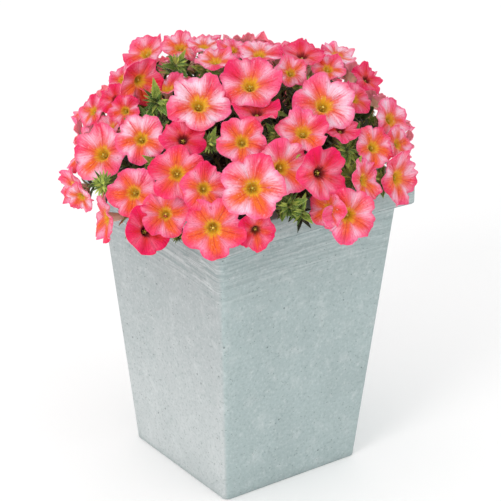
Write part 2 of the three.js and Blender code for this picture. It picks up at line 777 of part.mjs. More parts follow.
function pottedPetchoa() {
  const whole = new THREE.Group();
  const stems = stemPlan();
  const blooms = bloomPlan();
  const solids = blooms.map(bloomSolid);
  const planter = planterSolid();
  whole.add(subPart('planter', planter, looks.planter));
  whole.add(subPart('soil', soilSolid(stems), looks.soil));
  growShoots(stems, blooms, solids, planter).forEach((solid, index) => {
    whole.add(subPart(`shoot_${index + 1}`, solid, looks.green));
  });
  bunchSolids(solids).forEach((solid, index) => {
    whole.add(subPart(`blooms_${index + 1}`, solid, looks.petal));
  });
  return whole;
}

export default pottedPetchoa();
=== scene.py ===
# Potted petchoa in a square fibre-cement planter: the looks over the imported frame.
# Metres, +Z up. The plant is planned in millimetres, as it was grown, and brought to metres at the end.
import math
from itertools import product
import bmesh
import bpy
from mathutils import Matrix, Vector, noise
from mathutils.kdtree import KDTree


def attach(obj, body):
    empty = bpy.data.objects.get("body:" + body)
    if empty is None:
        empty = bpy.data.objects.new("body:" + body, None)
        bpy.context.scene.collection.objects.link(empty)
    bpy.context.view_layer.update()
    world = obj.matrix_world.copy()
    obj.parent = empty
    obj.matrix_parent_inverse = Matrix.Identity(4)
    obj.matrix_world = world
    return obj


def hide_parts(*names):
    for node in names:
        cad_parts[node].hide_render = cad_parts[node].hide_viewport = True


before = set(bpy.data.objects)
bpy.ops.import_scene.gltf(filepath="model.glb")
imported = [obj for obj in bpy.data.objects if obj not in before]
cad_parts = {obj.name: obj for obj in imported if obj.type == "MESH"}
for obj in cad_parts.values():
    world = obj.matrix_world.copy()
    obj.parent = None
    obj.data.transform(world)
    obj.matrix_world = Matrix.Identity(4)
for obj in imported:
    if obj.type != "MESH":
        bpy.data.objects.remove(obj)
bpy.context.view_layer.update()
toMetres = 0.001
fullTurn = 2 * math.pi


def lerp(a, b, share):
    return a + (b - a) * share


def smooth(low, high, x):  # 0 below low, 1 above high, eased between
    t = min(max((x - low) / (high - low), 0.0), 1.0)
    return t * t * (3 - 2 * t)


def rgb(red, green, blue):  # a colour as a screen shows it, 0 to 255, as light
    def light(c):
        c = c / 255
        return c / 12.92 if c <= 0.04045 else ((c + 0.055) / 1.055) ** 2.4
    return (light(red), light(green), light(blue), 1.0)


def seededDraw(seed):  # draws from 0 to 1, in the same order as the plant was grown with
    state = seed
    prime = 2147483647

    def draw():
        nonlocal state
        state = state * 16807 % prime
        return state / prime
    return draw


def meshOf(name, bm):
    mesh = bpy.data.meshes.new(name)
    bm.to_mesh(mesh)
    bm.free()
    return mesh


def newObject(name, bm, *materials):
    mesh = meshOf(name, bm)
    mesh.transform(Matrix.Scale(toMetres, 4))
    for material in materials:
        mesh.materials.append(material)
    mesh.shade_smooth()
    piece = bpy.data.objects.new(name, mesh)
    bpy.context.scene.collection.objects.link(piece)
    return piece


def keepModifiers(piece):  # works the piece's modifiers into its mesh
    graph = bpy.context.evaluated_depsgraph_get()
    mesh = bpy.data.meshes.new_from_object(piece.evaluated_get(graph))
    piece.modifiers.clear()
    piece.data = mesh


def declare(piece, node):
    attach(piece, "root")
    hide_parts(node)


class Value:  # one socket of a finish; sums on it add Math nodes
    def __init__(self, finish, socket):
        self.finish = finish
        self.socket = socket

    def __add__(self, other):
        return self.finish.maths("ADD", self, other)

    def __sub__(self, other):
        return self.finish.maths("SUBTRACT", self, other)

    def __rsub__(self, other):
        return self.finish.maths("SUBTRACT", other, self)

    def __mul__(self, other):
        return self.finish.maths("MULTIPLY", self, other)

    def __pow__(self, other):
        return self.finish.maths("POWER", self, other)

    __radd__ = __add__
    __rmul__ = __mul__


class Finish:  # a material with a principled shader, written as expressions
    def __init__(self, name, **constants):
        self.material = bpy.data.materials.new(name)
        self.material.use_nodes = True
        self.tree = self.material.node_tree
        self.shader = self.tree.nodes["Principled BSDF"]
        for socket, value in constants.items():
            self.shader.inputs[socket.replace("_", " ")].default_value = value

    def node(self, kind, settings=None, inputs=None, output=0):
        node = self.tree.nodes.new(kind)
        for name, value in (settings or {}).items():
            if name == "stops":
                self.setStops(node.color_ramp, value)
            else:
                setattr(node, name, value)
        for name, value in (inputs or {}).items():
            self.feed(node.inputs[name], value)
        return Value(self, node.outputs[output])

    def setStops(self, ramp, stops):
        while len(ramp.elements) < len(stops):
            ramp.elements.new(1.0)
        for element, (place, colour) in zip(ramp.elements, stops):
            element.position = place
            element.color = colour

    def feed(self, socket, value):
        if isinstance(value, Value):
            self.tree.links.new(value.socket, socket)
        else:
            socket.default_value = value

    def maths(self, operation, a, b=0.0):
        return self.node("ShaderNodeMath", {"operation": operation}, {0: a, 1: b})

    def clamp(self, a):
        return self.node("ShaderNodeClamp", {}, {"Value": a})

    def wave(self, turns):  # a cosine that comes round once a turn
        return self.maths("COSINE", turns * fullTurn)

    def absolute(self, a):
        return self.maths("ABSOLUTE", a)

    def step(self, value, low, high):  # eased 0 to 1 between low and high
        return self.node("ShaderNodeMapRange", {"interpolation_type": "SMOOTHSTEP"},
                         {"Value": value, "From Min": low, "From Max": high})

    def mix(self, share, a, b):  # a Mix node's colours go in at 6 and 7 and come out at 2
        return self.node("ShaderNodeMix", {"data_type": "RGBA"}, {0: share, 6: a, 7: b}, 2)

    def coats(self, colour, *layers):  # lays tones over a colour, each by its share
        for share, tone in layers:
            colour = self.mix(share, colour, tone)
        return colour

    def place(self):
        return self.node("ShaderNodeTexCoord", output="Object")

    def vectors(self, operation, a, b):
        return self.node("ShaderNodeVectorMath", {"operation": operation}, {0: a, 1: b})

    def parts(self, vector):
        split = self.node("ShaderNodeSeparateXYZ", {}, {0: vector}).socket.node
        return [Value(self, part) for part in split.outputs]

    def noise(self, vector, scale, detail=3.0, roughness=0.5):
        return self.node("ShaderNodeTexNoise", {},
                         {"Vector": vector, "Scale": scale, "Detail": detail, "Roughness": roughness})

    def cells(self, vector, scale):  # how far each spot is from the middle of its cell
        return self.node("ShaderNodeTexVoronoi", {}, {"Vector": vector, "Scale": scale})

    def bump(self, height, strength, distance):
        normal = self.node("ShaderNodeBump", {},
                           {"Height": height, "Strength": strength, "Distance": distance})
        self.feed(self.shader.inputs["Normal"], normal)

    def set(self, socket, value):
        self.feed(self.shader.inputs[socket], value)


cement = {
    "sunny": rgb(166, 173, 174), "shady": rgb(166, 181, 181), "dark": rgb(140, 154, 154),
    "light": rgb(212, 217, 217), "pore": rgb(92, 104, 104), "cloudScale": 16.0, "grainScale": 330.0,
    "patchScale": 60.0, "poreScale": 75.0, "pinholeScale": 250.0, "trowelScale": (12.0, 12.0, 360.0),
    "troweledFrom": (0.215, 0.28), "troweledTo": (0.3255, 0.32), "lipEdge": 0.3, "line": rgb(112, 124, 126),
    "paleFoot": (0.26, 0.02), "darkFoot": (0.009, 0.0),
}


def cementFinish():
    f = Finish("fibreCement", Roughness=0.88, Specular_IOR_Level=0.3)
    place = f.place()
    x, y, z = f.parts(place)
    clouds = f.noise(place, cement["cloudScale"], 4.0, 0.55)
    grain = f.noise(place, cement["grainScale"], 3.0, 0.7)
    patches = f.noise(place, cement["patchScale"], 3.0, 0.6)
    turned = f.step(x - y + (grain - 0.5) * 0.004, -0.003, 0.003)  # painted light and shade: faces on one side of the x = y diagonal take the sunny tone, the others the greener shady tone
    pores = 0
    for scale, size, share in ((cement["poreScale"], 0.1, 0.52), (cement["pinholeScale"], 0.19, 0.5)):
        chosen = f.step(f.noise(place, scale * 0.55, 1.0), share, share + 0.06)
        pores = f.clamp(f.step(f.cells(place, scale), size, size * 0.4) * chosen + pores)
    wavy = f.vectors("ADD", f.vectors("MULTIPLY", place, cement["trowelScale"]), clouds * 2.5)
    streaks = f.noise(wavy, 1.0, 2.0, 0.7)
    troweled = f.step(z, *cement["troweledFrom"]) * f.step(z, *cement["troweledTo"])
    troweled = troweled * (1 - turned * 0.35)
    joint = f.step(f.absolute(z - cement["lipEdge"]), 0.0016, 0.0006)  # a fine line of painted shadow under the lip
    paleFoot = f.step(z + (clouds - 0.5) * 0.1, *cement["paleFoot"]) * (1 - turned)
    darkFoot = f.step(z + (patches - 0.5) * 0.01, *cement["darkFoot"])
    f.set("Base Color", f.coats(
        f.mix(turned, cement["sunny"], cement["shady"]),
        (paleFoot * 0.5, cement["light"]),
        (f.step(clouds, 0.6, 0.35) * 0.18, cement["dark"]),
        (f.step(patches, 0.5, 0.72) * 0.22, cement["light"]),
        (f.step(grain, 0.52, 0.74) * 0.36, cement["light"]),
        (f.step(grain, 0.49, 0.28) * 0.62, cement["dark"]),
        (pores * 0.7, cement["pore"]),
        (f.step(streaks, 0.5, 0.38) * troweled * 0.75, cement["dark"]),
        (f.step(streaks, 0.53, 0.66) * troweled * 0.55, cement["light"]),
        (joint * 0.6, cement["line"]),
        (darkFoot * 0.4, cement["dark"]),
    ))
    relief = clouds * 0.2 + grain * 0.45 - pores * 0.9 + streaks * troweled * 0.9
    f.bump(relief, 0.6, 0.0012)
    return f.material


soilLook = {
    "peat": rgb(46, 32, 24), "bark": rgb(104, 76, 54), "grit": rgb(206, 198, 182),
    "lumpScale": 160.0, "crumbScale": 190.0, "gritScale": 85.0,
}


def soilFinish():
    f = Finish("pottingSoil", Roughness=0.95, Specular_IOR_Level=0.2)
    place = f.place()
    lumps = f.noise(place, soilLook["lumpScale"], 4.0, 0.6)
    crumbs = f.cells(place, soilLook["crumbScale"])
    chosen = f.step(f.noise(place, soilLook["gritScale"], 1.0), 0.62, 0.66)
    colour = f.mix(f.step(lumps, 0.35, 0.65), soilLook["peat"], soilLook["bark"])
    f.set("Base Color", f.mix(f.step(crumbs, 0.32, 0.22) * chosen, colour, soilLook["grit"]))
    f.bump(lumps - crumbs * 0.5, 0.6, 0.0022)
    return f.material


# the ramp from young to old ends near black, as painted shade for leaves deep in the mound
leafLook = {
    "young": rgb(216, 232, 104), "grown": rgb(78, 120, 42), "oldAndShaded": rgb(3, 9, 2),
    "vein": rgb(186, 206, 124), "hair": rgb(240, 246, 214), "sideVeins": 7.0, "mottleScale": 260.0,
}


def leafFinish():
    f = Finish("leafGreen", Specular_IOR_Level=0.42, Sheen_Weight=0.04, Sheen_Roughness=0.5)
    across, along, _ = f.parts(f.node("ShaderNodeUVMap", {"uv_map": "leafMap"}))
    age, chance, hair = f.parts(f.node("ShaderNodeAttribute", {"attribute_name": "leafTint"}))
    side = f.absolute(across - 0.5) * 2.0
    mottle = f.noise(f.place(), leafLook["mottleScale"], 3.0)
    ageAndShadeNow = f.clamp(age + (mottle - 0.5) * 0.4 + (chance - 0.5) * 0.35)
    stops = [(0.0, leafLook["young"]), (0.45, leafLook["grown"]), (1.0, leafLook["oldAndShaded"])]
    blade = f.node("ShaderNodeValToRGB", {"stops": stops}, {"Fac": ageAndShadeNow})
    midrib = f.step(side, 0.12, 0.03)
    ribs = f.wave(along * leafLook["sideVeins"] - side * 2.2)
    veins = f.clamp(midrib + f.step(ribs, 0.86, 1.0) * f.step(side, 0.98, 0.5) * 0.5)
    lit = 1.0 - ageAndShadeNow * 0.85  # painted shade: where a leaf is painted old and shaded, its paler veins, margin and hairs darken too
    f.set("Base Color", f.coats(
        blade,
        (veins * lit * 0.6, leafLook["vein"]),
        (f.step(side, 0.75, 1.0) * lit * 0.55, leafLook["young"]),  # the paler margin
        (hair * (1.0 - ageAndShadeNow * 0.6), leafLook["hair"]),
    ))
    f.set("Roughness", 0.52 + mottle * 0.15)
    f.bump(mottle * 0.5 - veins, 0.6, 0.0007)
    return f.material


spotLook = {
    "stalk": (rgb(92, 120, 46), rgb(122, 100, 54)), "stalkScale": 90.0, "downScale": 900.0,
    "sepal": (rgb(136, 150, 74), rgb(166, 104, 66)), "sepalScale": 140.0,
    "stigma": (rgb(170, 150, 40), rgb(232, 206, 98)), "stigmaScale": 700.0,
}


def stalkFinish():
    f = Finish("stalkGreen", Roughness=0.55, Sheen_Weight=0.3)
    place = f.place()
    spots = f.noise(place, spotLook["stalkScale"], 3.0)
    f.set("Base Color", f.mix(f.step(spots, 0.4, 0.7), *spotLook["stalk"]))
    f.bump(f.noise(place, spotLook["downScale"], 2.0), 0.3, 0.0003)
    return f.material


def sepalFinish():
    f = Finish("sepalOlive", Roughness=0.55, Sheen_Weight=0.2)
    spots = f.noise(f.place(), spotLook["sepalScale"], 3.0)
    f.set("Base Color", f.mix(f.step(spots, 0.35, 0.65), *spotLook["sepal"]))
    f.bump(spots, 0.3, 0.0004)
    return f.material


def stigmaFinish():
    f = Finish("stigma", Roughness=0.4)
    dots = f.noise(f.place(), spotLook["stigmaScale"], 2.0)
    f.set("Base Color", f.mix(f.step(dots, 0.4, 0.6), *spotLook["stigma"]))
    return f.material


petalLook = {
    "pink": rgb(252, 100, 152), "magenta": rgb(228, 18, 94), "coral": rgb(246, 84, 62),
    "orange": rgb(242, 112, 34), "peach": rgb(252, 158, 84), "gold": rgb(255, 202, 48),
    "olive": rgb(104, 80, 14), "pale": rgb(255, 214, 230), "hotPink": rgb(230, 18, 92),
    "hotRed": rgb(214, 14, 50), "hotThroat": rgb(120, 18, 24), "under": rgb(255, 176, 184),
    "tube": rgb(255, 216, 186), "vein": rgb(190, 18, 64), "creaseShade": rgb(214, 34, 46),
    "through": rgb(255, 130, 150),  # a painted glow that stands in for daylight through thin petals
    "veinsPerLobe": 11.0, "rays": (6.5, 0.9, 1.0), "fineRays": (24.0, 2.2, 1.0),  # streaks out along a lobe
    "mottleScale": 420.0, "broadScale": 75.0, "patchScale": 40.0,
}


def petalFinish():
    f = Finish("petal", Roughness=0.55, Specular_IOR_Level=0.2, Sheen_Weight=0.05, Sheen_Roughness=0.4,
               Subsurface_Weight=0.5, Subsurface_Scale=0.0016, Subsurface_Radius=(1.0, 0.6, 0.65),
               Emission_Strength=0.2)
    where = f.node("ShaderNodeUVMap", {"uv_map": "petalMap"})
    turn, out, _ = f.parts(where)
    tint = f.node("ShaderNodeAttribute", {"attribute_name": "petalTint"})
    hot, pale, warm = f.parts(tint)
    under = Value(f, tint.socket.node.outputs["Alpha"])
    place = f.place()
    mottle = f.noise(place, petalLook["mottleScale"], 3.0, 0.6)
    broad = f.noise(place, petalLook["broadScale"], 3.0, 0.55)
    patch = f.noise(place, petalLook["patchScale"], 2.0)
    mid = 0.5 - f.wave(turn) * 0.5  # 0 where two lobes join, 1 along a lobe's middle
    joint = 1.0 - mid
    rays = f.noise(f.vectors("MULTIPLY", where, petalLook["rays"]), 1.0, 3.0, 0.65)
    fine = f.noise(f.vectors("MULTIPLY", where, petalLook["fineRays"]), 1.0, 2.0, 0.6)
    ragged = out + (mottle - 0.5) * 0.14 + (broad - 0.5) * 0.26 + (rays - 0.5) * 0.5
    margin = f.step(out + (fine - 0.5) * 0.3 + (broad - 0.5) * 0.3, 0.78, 1.0)
    limb = f.step(ragged, 0.24, 0.46) * (1.0 - margin * 0.8)
    cooler = 1.0 - hot * 0.7
    deep = f.step(patch + (rays - 0.5) * 0.9, 0.38, 0.62)
    band = f.step(ragged, 1.15, 0.35) * (mid ** 0.7)
    hotColour = f.mix(f.clamp(mid * f.step(ragged, 1.0, 0.3)), petalLook["hotPink"], petalLook["hotRed"])
    seam = (joint ** 2.0) * limb * (0.4 + pale * 0.85)
    wash = f.step(rays * 0.5 + fine * 0.3 + broad * 0.2 + pale * 0.15, 0.52, 0.7) * limb
    peach = f.step(ragged, 0.8, 0.35) * (mid ** 1.6) * f.step(warm, 0.45, 1.0)
    glow = f.step(ragged - mid * (0.1 + warm * 0.3), 0.8, 0.15) * (1.0 - hot * 0.6)
    flame = f.step(ragged - mid * (0.05 + warm * 0.27), 0.56, 0.14) * (1.0 - hot * 0.7)
    centre = f.mix(f.step(hot, 0.45, 0.8), petalLook["gold"], petalLook["hotThroat"])
    lines = f.wave(turn * petalLook["veinsPerLobe"] + (broad - 0.5) * 3.0 + (mottle - 0.5))
    throatLines = f.step(lines, 0.1, 0.9) * f.step(out, 0.24, 0.12)
    # painted shade: a dark red line down the fold in each lobe's middle
    creaseShade = f.step(mid, 0.985, 0.999) * f.step(out, 0.16, 0.3) * f.step(ragged, 0.95, 0.6)
    veins = f.step(lines, 0.5, 1.0) * f.step(out, 0.14, 0.4) * f.step(out, 1.02, 0.75)
    veins = veins * f.step(fine, 0.35, 0.6)
    underColour = f.coats(
        f.mix(f.step(out, 0.18, 0.4), petalLook["tube"], petalLook["under"]),
        (f.clamp(hot * 0.3 + margin * 0.25), petalLook["pink"]),
        (veins * 0.2, petalLook["vein"]),
    )
    f.set("Base Color", f.coats(
        f.mix(deep * 0.8, petalLook["pink"], petalLook["magenta"]),
        (f.clamp(band * (0.15 + warm)), petalLook["coral"]),
        (f.clamp(hot * (0.75 + rays * 0.5)), hotColour),
        (f.clamp(seam * cooler), petalLook["pale"]),
        (f.clamp(wash * cooler * (0.2 + pale * 0.9)), petalLook["pale"]),
        (f.clamp(peach * cooler * 0.75), petalLook["peach"]),
        (f.clamp(glow * (0.35 + warm * 0.4)), petalLook["coral"]),
        (f.clamp(flame * (0.65 + warm * 0.3)), petalLook["orange"]),
        (f.step(out + (rays - 0.5) * 0.36 + (fine - 0.5) * 0.14, 0.36, 0.14), centre),
        (f.clamp(throatLines * 0.38 + f.step(out, 0.1, 0.04) * 0.3), petalLook["olive"]),
        (f.clamp(creaseShade * 0.55), petalLook["creaseShade"]),
        (f.clamp(veins * 0.45 * (1.1 - pale)), petalLook["vein"]),
        (f.step(mottle, 0.55, 0.78) * cooler * 0.35, petalLook["pale"]),
        (f.step(mottle, 0.45, 0.25) * 0.45, petalLook["vein"]),
        (under, underColour),
    ))
    # painted light: outer petal undersides glow pink, in place of daylight passing through them
    f.set("Emission Color", f.mix(under * f.step(out, 0.4, 0.75), rgb(0, 0, 0), petalLook["through"]))
    f.bump(lines * 0.2 + mottle * 0.5 + rays * 0.8, 0.7, 0.0014)
    return f.material


def floorFinish():
    f = Finish("paleFloor", Roughness=0.9)
    faint = f.noise(f.place(), 3.0, 2.0)
    f.set("Base Color", f.mix(faint, rgb(250, 250, 250), rgb(253, 253, 253)))
    return f.material


finishes = {
    "cement": cementFinish(), "soil": soilFinish(), "leaf": leafFinish(), "stalk": stalkFinish(),
    "sepal": sepalFinish(), "petal": petalFinish(), "stigma": stigmaFinish(), "floor": floorFinish(),
}
print("finishes made:", len(finishes))

view = {  # degrees and millimetres, then places in the picture, and the sensor's width
    "turn": -35.8, "rise": 24.67, "roll": 0.36, "away": 2409.85, "aimAcross": 8.91, "aimHeight": 232.93,
    "focal": 2310.3, "middleX": 254.38, "middleY": 249.88, "picture": 501, "sensor": 36.0,
}


def viewFrame():  # the eye, and the directions right and up in the picture and back to the eye
    turn = math.radians(view["turn"])
    rise = math.radians(view["rise"])
    roll = math.radians(view["roll"])
    back = Vector((math.sin(turn) * math.cos(rise), -math.cos(turn) * math.cos(rise), math.sin(rise)))
    level = Vector((math.cos(turn), math.sin(turn), 0))
    upright = back.cross(level)
    eye = level * view["aimAcross"] + back * view["away"] + Vector((0, 0, view["aimHeight"]))
    right = level * math.cos(roll) + upright * math.sin(roll)
    up = upright * math.cos(roll) - level * math.sin(roll)
    return eye, back, right, up


def addCamera():
    eye, back, right, up = viewFrame()
    camera = bpy.data.objects.new("camera", bpy.data.cameras.new("camera"))
    bpy.context.scene.collection.objects.link(camera)
    turned = Matrix((right, up, back)).transposed().to_4x4()
    camera.matrix_world = Matrix.Translation(eye * toMetres) @ turned
    camera.data.sensor_width = view["sensor"]
    camera.data.lens = view["focal"] / view["picture"] * view["sensor"]
    camera.data.shift_x = (view["picture"] / 2 - view["middleX"]) / view["picture"]
    camera.data.shift_y = (view["middleY"] - view["picture"] / 2) / view["picture"]
    camera.data.clip_end = 30
    bpy.context.scene.camera = camera


studio = {
    "world": 1.0, "key": 27.0, "keySize": 1.4, "keyAt": (-2.5, -0.9, 1.9), "keyTint": (1.0, 0.96, 0.94),
    "fill": 3.0, "fillSize": 2.0, "fillAt": (0.8, -2.6, 1.5), "fillTint": (0.93, 0.99, 1.0),
    "aim": (0, 0, 0.28), "floorRadius": 14000, "floorSides": 96,
}


def addAreaLight(name, place, size, power, colour):
    lamp = bpy.data.lights.new(name, "AREA")
    lamp.shape = "DISK"
    lamp.size = size
    lamp.energy = power
    lamp.color = colour
    light = bpy.data.objects.new(name, lamp)
    towards = Vector(studio["aim"]) - Vector(place)
    light.matrix_world = Matrix.Translation(place) @ towards.to_track_quat("-Z", "Y").to_matrix().to_4x4()
    bpy.context.scene.collection.objects.link(light)


def addStudio():
    scene = bpy.context.scene
    scene.view_settings.view_transform = "Standard"
    world = bpy.data.worlds.new("studio")
    scene.world = world
    world.use_nodes = True
    background = world.node_tree.nodes["Background"]
    background.inputs["Color"].default_value = (1, 1, 1, 1)
    background.inputs["Strength"].default_value = studio["world"]
    addAreaLight("keyLight", studio["keyAt"], studio["keySize"], studio["key"], studio["keyTint"])
    addAreaLight("fillLight", studio["fillAt"], studio["fillSize"], studio["fill"], studio["fillTint"])
    bm = bmesh.new()
    bmesh.ops.create_circle(bm, cap_ends=True, segments=studio["floorSides"], radius=studio["floorRadius"])
    floor = newObject("floor", bm, finishes["floor"])


addCamera()
addStudio()
print("camera, light and floor set")

pot = {
    "baseSide": 170, "shoulderSide": 223, "lipOverhang": 13.5, "bodyHeight": 300, "lipHeight": 25,
    "wall": 12, "floorThickness": 12, "corner": 7, "cornerSteps": 6, "sideCuts": 15, "bow": 5,
    "rows": 10, "arris": 1.5, "arrisSteps": 3, "creaseAngle": 40, "drainRadius": 6, "drainOffset": 36,
    "drainSides": 32,
}
lipHalf = pot["shoulderSide"] / 2 + pot["lipOverhang"]
lipTop = pot["bodyHeight"] + pot["lipHeight"]
soil = {
    "level": 297, "fit": 0.3, "lump": 1.32, "lumpScale": 0.09, "lumpRoughness": 0.8, "rings": 14,
    "inward": 0.98, "holeDepth": 12,
}


def bodyHalf(z):
    return lerp(pot["baseSide"], pot["shoulderSide"], z / pot["bodyHeight"]) / 2


def bowAt(z):
    return pot["bow"] * min(z / pot["bodyHeight"], 1) ** 2


def placeRing(verts, layers, half, bow, z):  # rounded square whose sides bow inwards
    alongX, alongY, cornerX, cornerY, _ = layers
    straight = half - pot["corner"]
    for vert in verts:
        x = vert[alongX] * straight + vert[cornerX] * pot["corner"]
        y = vert[alongY] * straight + vert[cornerY] * pot["corner"]
        if abs(vert[alongX]) < 0.999:  # not on a corner
            y -= math.copysign(bow * (1 - vert[alongX] ** 2), y)
        if abs(vert[alongY]) < 0.999:
            x -= math.copysign(bow * (1 - vert[alongY] ** 2), x)
        vert.co = (x, y, z)


def squareTower(levels):  # rounded square rings joined one over another; a closed body
    bm = bmesh.new()
    half = levels[0][0]
    bmesh.ops.create_grid(bm, x_segments=1, y_segments=1, size=half)
    bmesh.ops.bevel(bm, geom=bm.verts[:], offset=pot["corner"], segments=pot["cornerSteps"], profile=0.5,
                    affect="VERTICES", material=-1)
    straight = half - pot["corner"]
    sides = [edge for edge in bm.edges if edge.calc_length() > straight]
    bmesh.ops.subdivide_edges(bm, edges=sides, cuts=pot["sideCuts"])
    layers = [bm.verts.layers.float.new(name) for name in ("alongX", "alongY", "cornerX", "cornerY", "level")]
    for vert in bm.verts:
        for axis in (0, 1):
            kept = min(max(vert.co[axis], -straight), straight)
            vert[layers[axis]] = kept / straight
            vert[layers[axis + 2]] = (vert.co[axis] - kept) / pot["corner"]
    placeRing(bm.verts, layers, *levels[0])
    top = bm.faces[:]
    for number, level in enumerate(levels[1:], 1):
        grown = bmesh.ops.extrude_face_region(bm, geom=top)["geom"]
        if number > 1:  # only the first one stays, as the bottom
            bmesh.ops.delete(bm, geom=top, context="FACES_ONLY")
        ring = [item for item in grown if isinstance(item, bmesh.types.BMVert)]
        top = [item for item in grown if isinstance(item, bmesh.types.BMFace)]
        for vert in ring:
            vert[layers[4]] = number
        placeRing(ring, layers, *level)
    bmesh.ops.recalc_face_normals(bm, faces=bm.faces[:])
    return bm, layers[4]


def makePlanter():
    height = pot["bodyHeight"]
    heights = [height * k / pot["rows"] for k in range(pot["rows"] + 1)]
    levels = [(bodyHalf(z), bowAt(z), z) for z in heights]
    under = len(levels)
    levels += [(lipHalf, pot["bow"], height), (lipHalf, pot["bow"], lipTop)]
    inner = bodyHalf(height) - pot["wall"]
    levels += [(inner, pot["bow"], lipTop), (inner, pot["bow"], height)]
    floor = pot["floorThickness"]
    levels += [(bodyHalf(floor) - pot["wall"], bowAt(floor), floor)]
    bm, level = squareTower(levels)
    sharp = {0, under, under + 1, under + 2}
    edges = [edge for edge in bm.edges
             if edge.verts[0][level] == edge.verts[1][level] and int(edge.verts[0][level]) in sharp]
    bmesh.ops.bevel(bm, geom=edges, offset=pot["arris"], segments=pot["arrisSteps"], profile=0.5,
                    affect="EDGES", material=-1)
    bmesh.ops.recalc_face_normals(bm, faces=bm.faces[:])
    planter = newObject("castPlanter", bm, finishes["cement"])
    cutters = bmesh.new()
    for x, y in product((-pot["drainOffset"], pot["drainOffset"]), repeat=2):
        bmesh.ops.create_cone(cutters, cap_ends=True, segments=pot["drainSides"], depth=4 * floor,
                              radius1=pot["drainRadius"], radius2=pot["drainRadius"],
                              matrix=Matrix.Translation((x, y, 0)))
    drains = newObject("drainCutters", cutters, finishes["cement"])
    cut = planter.modifiers.new("drains", "BOOLEAN")
    cut.object = drains
    cut.solver = "EXACT"
    keepModifiers(planter)
    bpy.data.objects.remove(drains)
    planter.data.shade_smooth()
    planter.data.set_sharp_from_angle(angle=math.radians(pot["creaseAngle"]))
    declare(planter, "planter")


def makeSoil():
    inset = pot["wall"] + soil["fit"]
    bottom = pot["floorThickness"] + soil["fit"]
    bm, _ = squareTower([(bodyHalf(bottom) - inset, bowAt(bottom), bottom),
                         (bodyHalf(soil["level"]) - inset, bowAt(soil["level"]), soil["level"])])
    top = [face for face in bm.faces if face.normal.z > 0.9]
    bmesh.ops.delete(bm, geom=top, context="FACES_ONLY")
    rim = [edge for edge in bm.edges if edge.is_boundary]
    for inward in range(soil["rings"]):  # towards the middle, each a little smaller
        ring = bmesh.ops.extrude_edge_only(bm, edges=rim)["geom"]
        rim = [item for item in ring if isinstance(item, bmesh.types.BMEdge)]
        verts = [item for item in ring if isinstance(item, bmesh.types.BMVert)]
        share = 1 - 1 / (soil["rings"] - inward) * soil["inward"]
        bmesh.ops.scale(bm, vec=(share, share, 1), verts=verts)
        for vert in verts:
            lump = noise.fractal(vert.co * soil["lumpScale"], soil["lumpRoughness"], 2.0, 3)
            vert.co.z = soil["level"] - soil["lump"] * (1 - lump)
    bmesh.ops.holes_fill(bm, edges=rim, sides=0)
    bmesh.ops.recalc_face_normals(bm, faces=bm.faces[:])
    declare(newObject("pottingMix", bm, finishes["soil"]), "soil")


makePlanter()
makeSoil()
print("planter and soil made")

# The plant's plan follows the rule that the frame's solids were grown by
mound = {"middle": Vector((-9.5, -4.8, 328)), "radius": 180.8, "height": 136.2}
plantHeart = Vector((-5, -3, 300))
stemRings = [
    {"count": 7, "turn": 0.5, "holeRing": 45, "reach": 84, "height": 345, "steepest": 38},
    {"count": 3, "turn": 0.25, "holeRing": 22, "reach": 44, "height": 371, "steepest": 66},
    {"count": 1, "turn": 0, "holeRing": 0, "reach": 0, "height": 383, "steepest": 91},
]
stemShape = {"radius": 2.4, "taper": (1, 1, 0.9, 0.8), "rise": 8, "elbow": 0.4, "lift": 6, "past": 0.05}
stalkShape = {
    "radius": 1.3, "sides": 3, "joinStep": 0.09, "joinSkips": (0, 1, 2), "stemChoices": 4,
    "bends": (0, 7, 14, 22), "bendWays": 8, "straight": 0.8, "plainShare": 0.25, "plainBack": 0.2,
    "steep": 0.8,
}
bloomShape = {
    "lobes": 5, "seed": 1009, "seedStep": 31, "notchDroop": -0.06, "growth": (0.97, 0.08),
    "droop": (-0.096, 0.16), "throat": (0.24, -0.26), "bore": 0.8, "tube": 1.02, "calyx": 6,
    "sepalTip": (0.32, -0.72), "fit": 0.3, "petal": 0.55,
}
leafShape = {
    "length": 44, "width": 18, "slimness": 0.42, "fold": 0.3, "droop": 0.16, "perTip": 3, "step": 3,
    "turn": 2.2, "ways": 8, "stalksPerLeaf": 6, "onStalk": (0.35, 0.5, 0.4), "thickness": 0.7,
    "sizes": (1, 0.8, 0.62), "leans": (0.6, 1.1, 1.8), "shifts": (0, 0.6, -0.6), "tipAge": 0.42,
    "stalkAge": 0.55, "foldPower": 1.3, "droopPower": 3, "narrowest": 0.04, "ripple": 0.05, "ripples": 2.6,
}
growth = {
    "seed": 20438, "tries": 900, "golden": 2.39996, "spacing": 38, "across": (42, 56), "shrink": 7,
    "lowest": -0.06, "lean": 0.5, "lift": (-6, 10), "backEdge": 0.25, "topEdge": 0.25,
    "bloomRoom": (18, 24), "stalkRoom": (6, 8), "innerTips": 18, "tipDepth": 30, "tipSpacing": 36,
    "tipBloomSpacing": 32, "tipSteep": (0.04, 0.97), "tipShare": 0.618034, "tipTurn": 1,
    "tipLengths": (0.7, 1), "tipLean": 0.2, "further": 5, "hotFrom": (0.5, 0.95), "hottest": 0.9,
    "palest": 0.8,
}

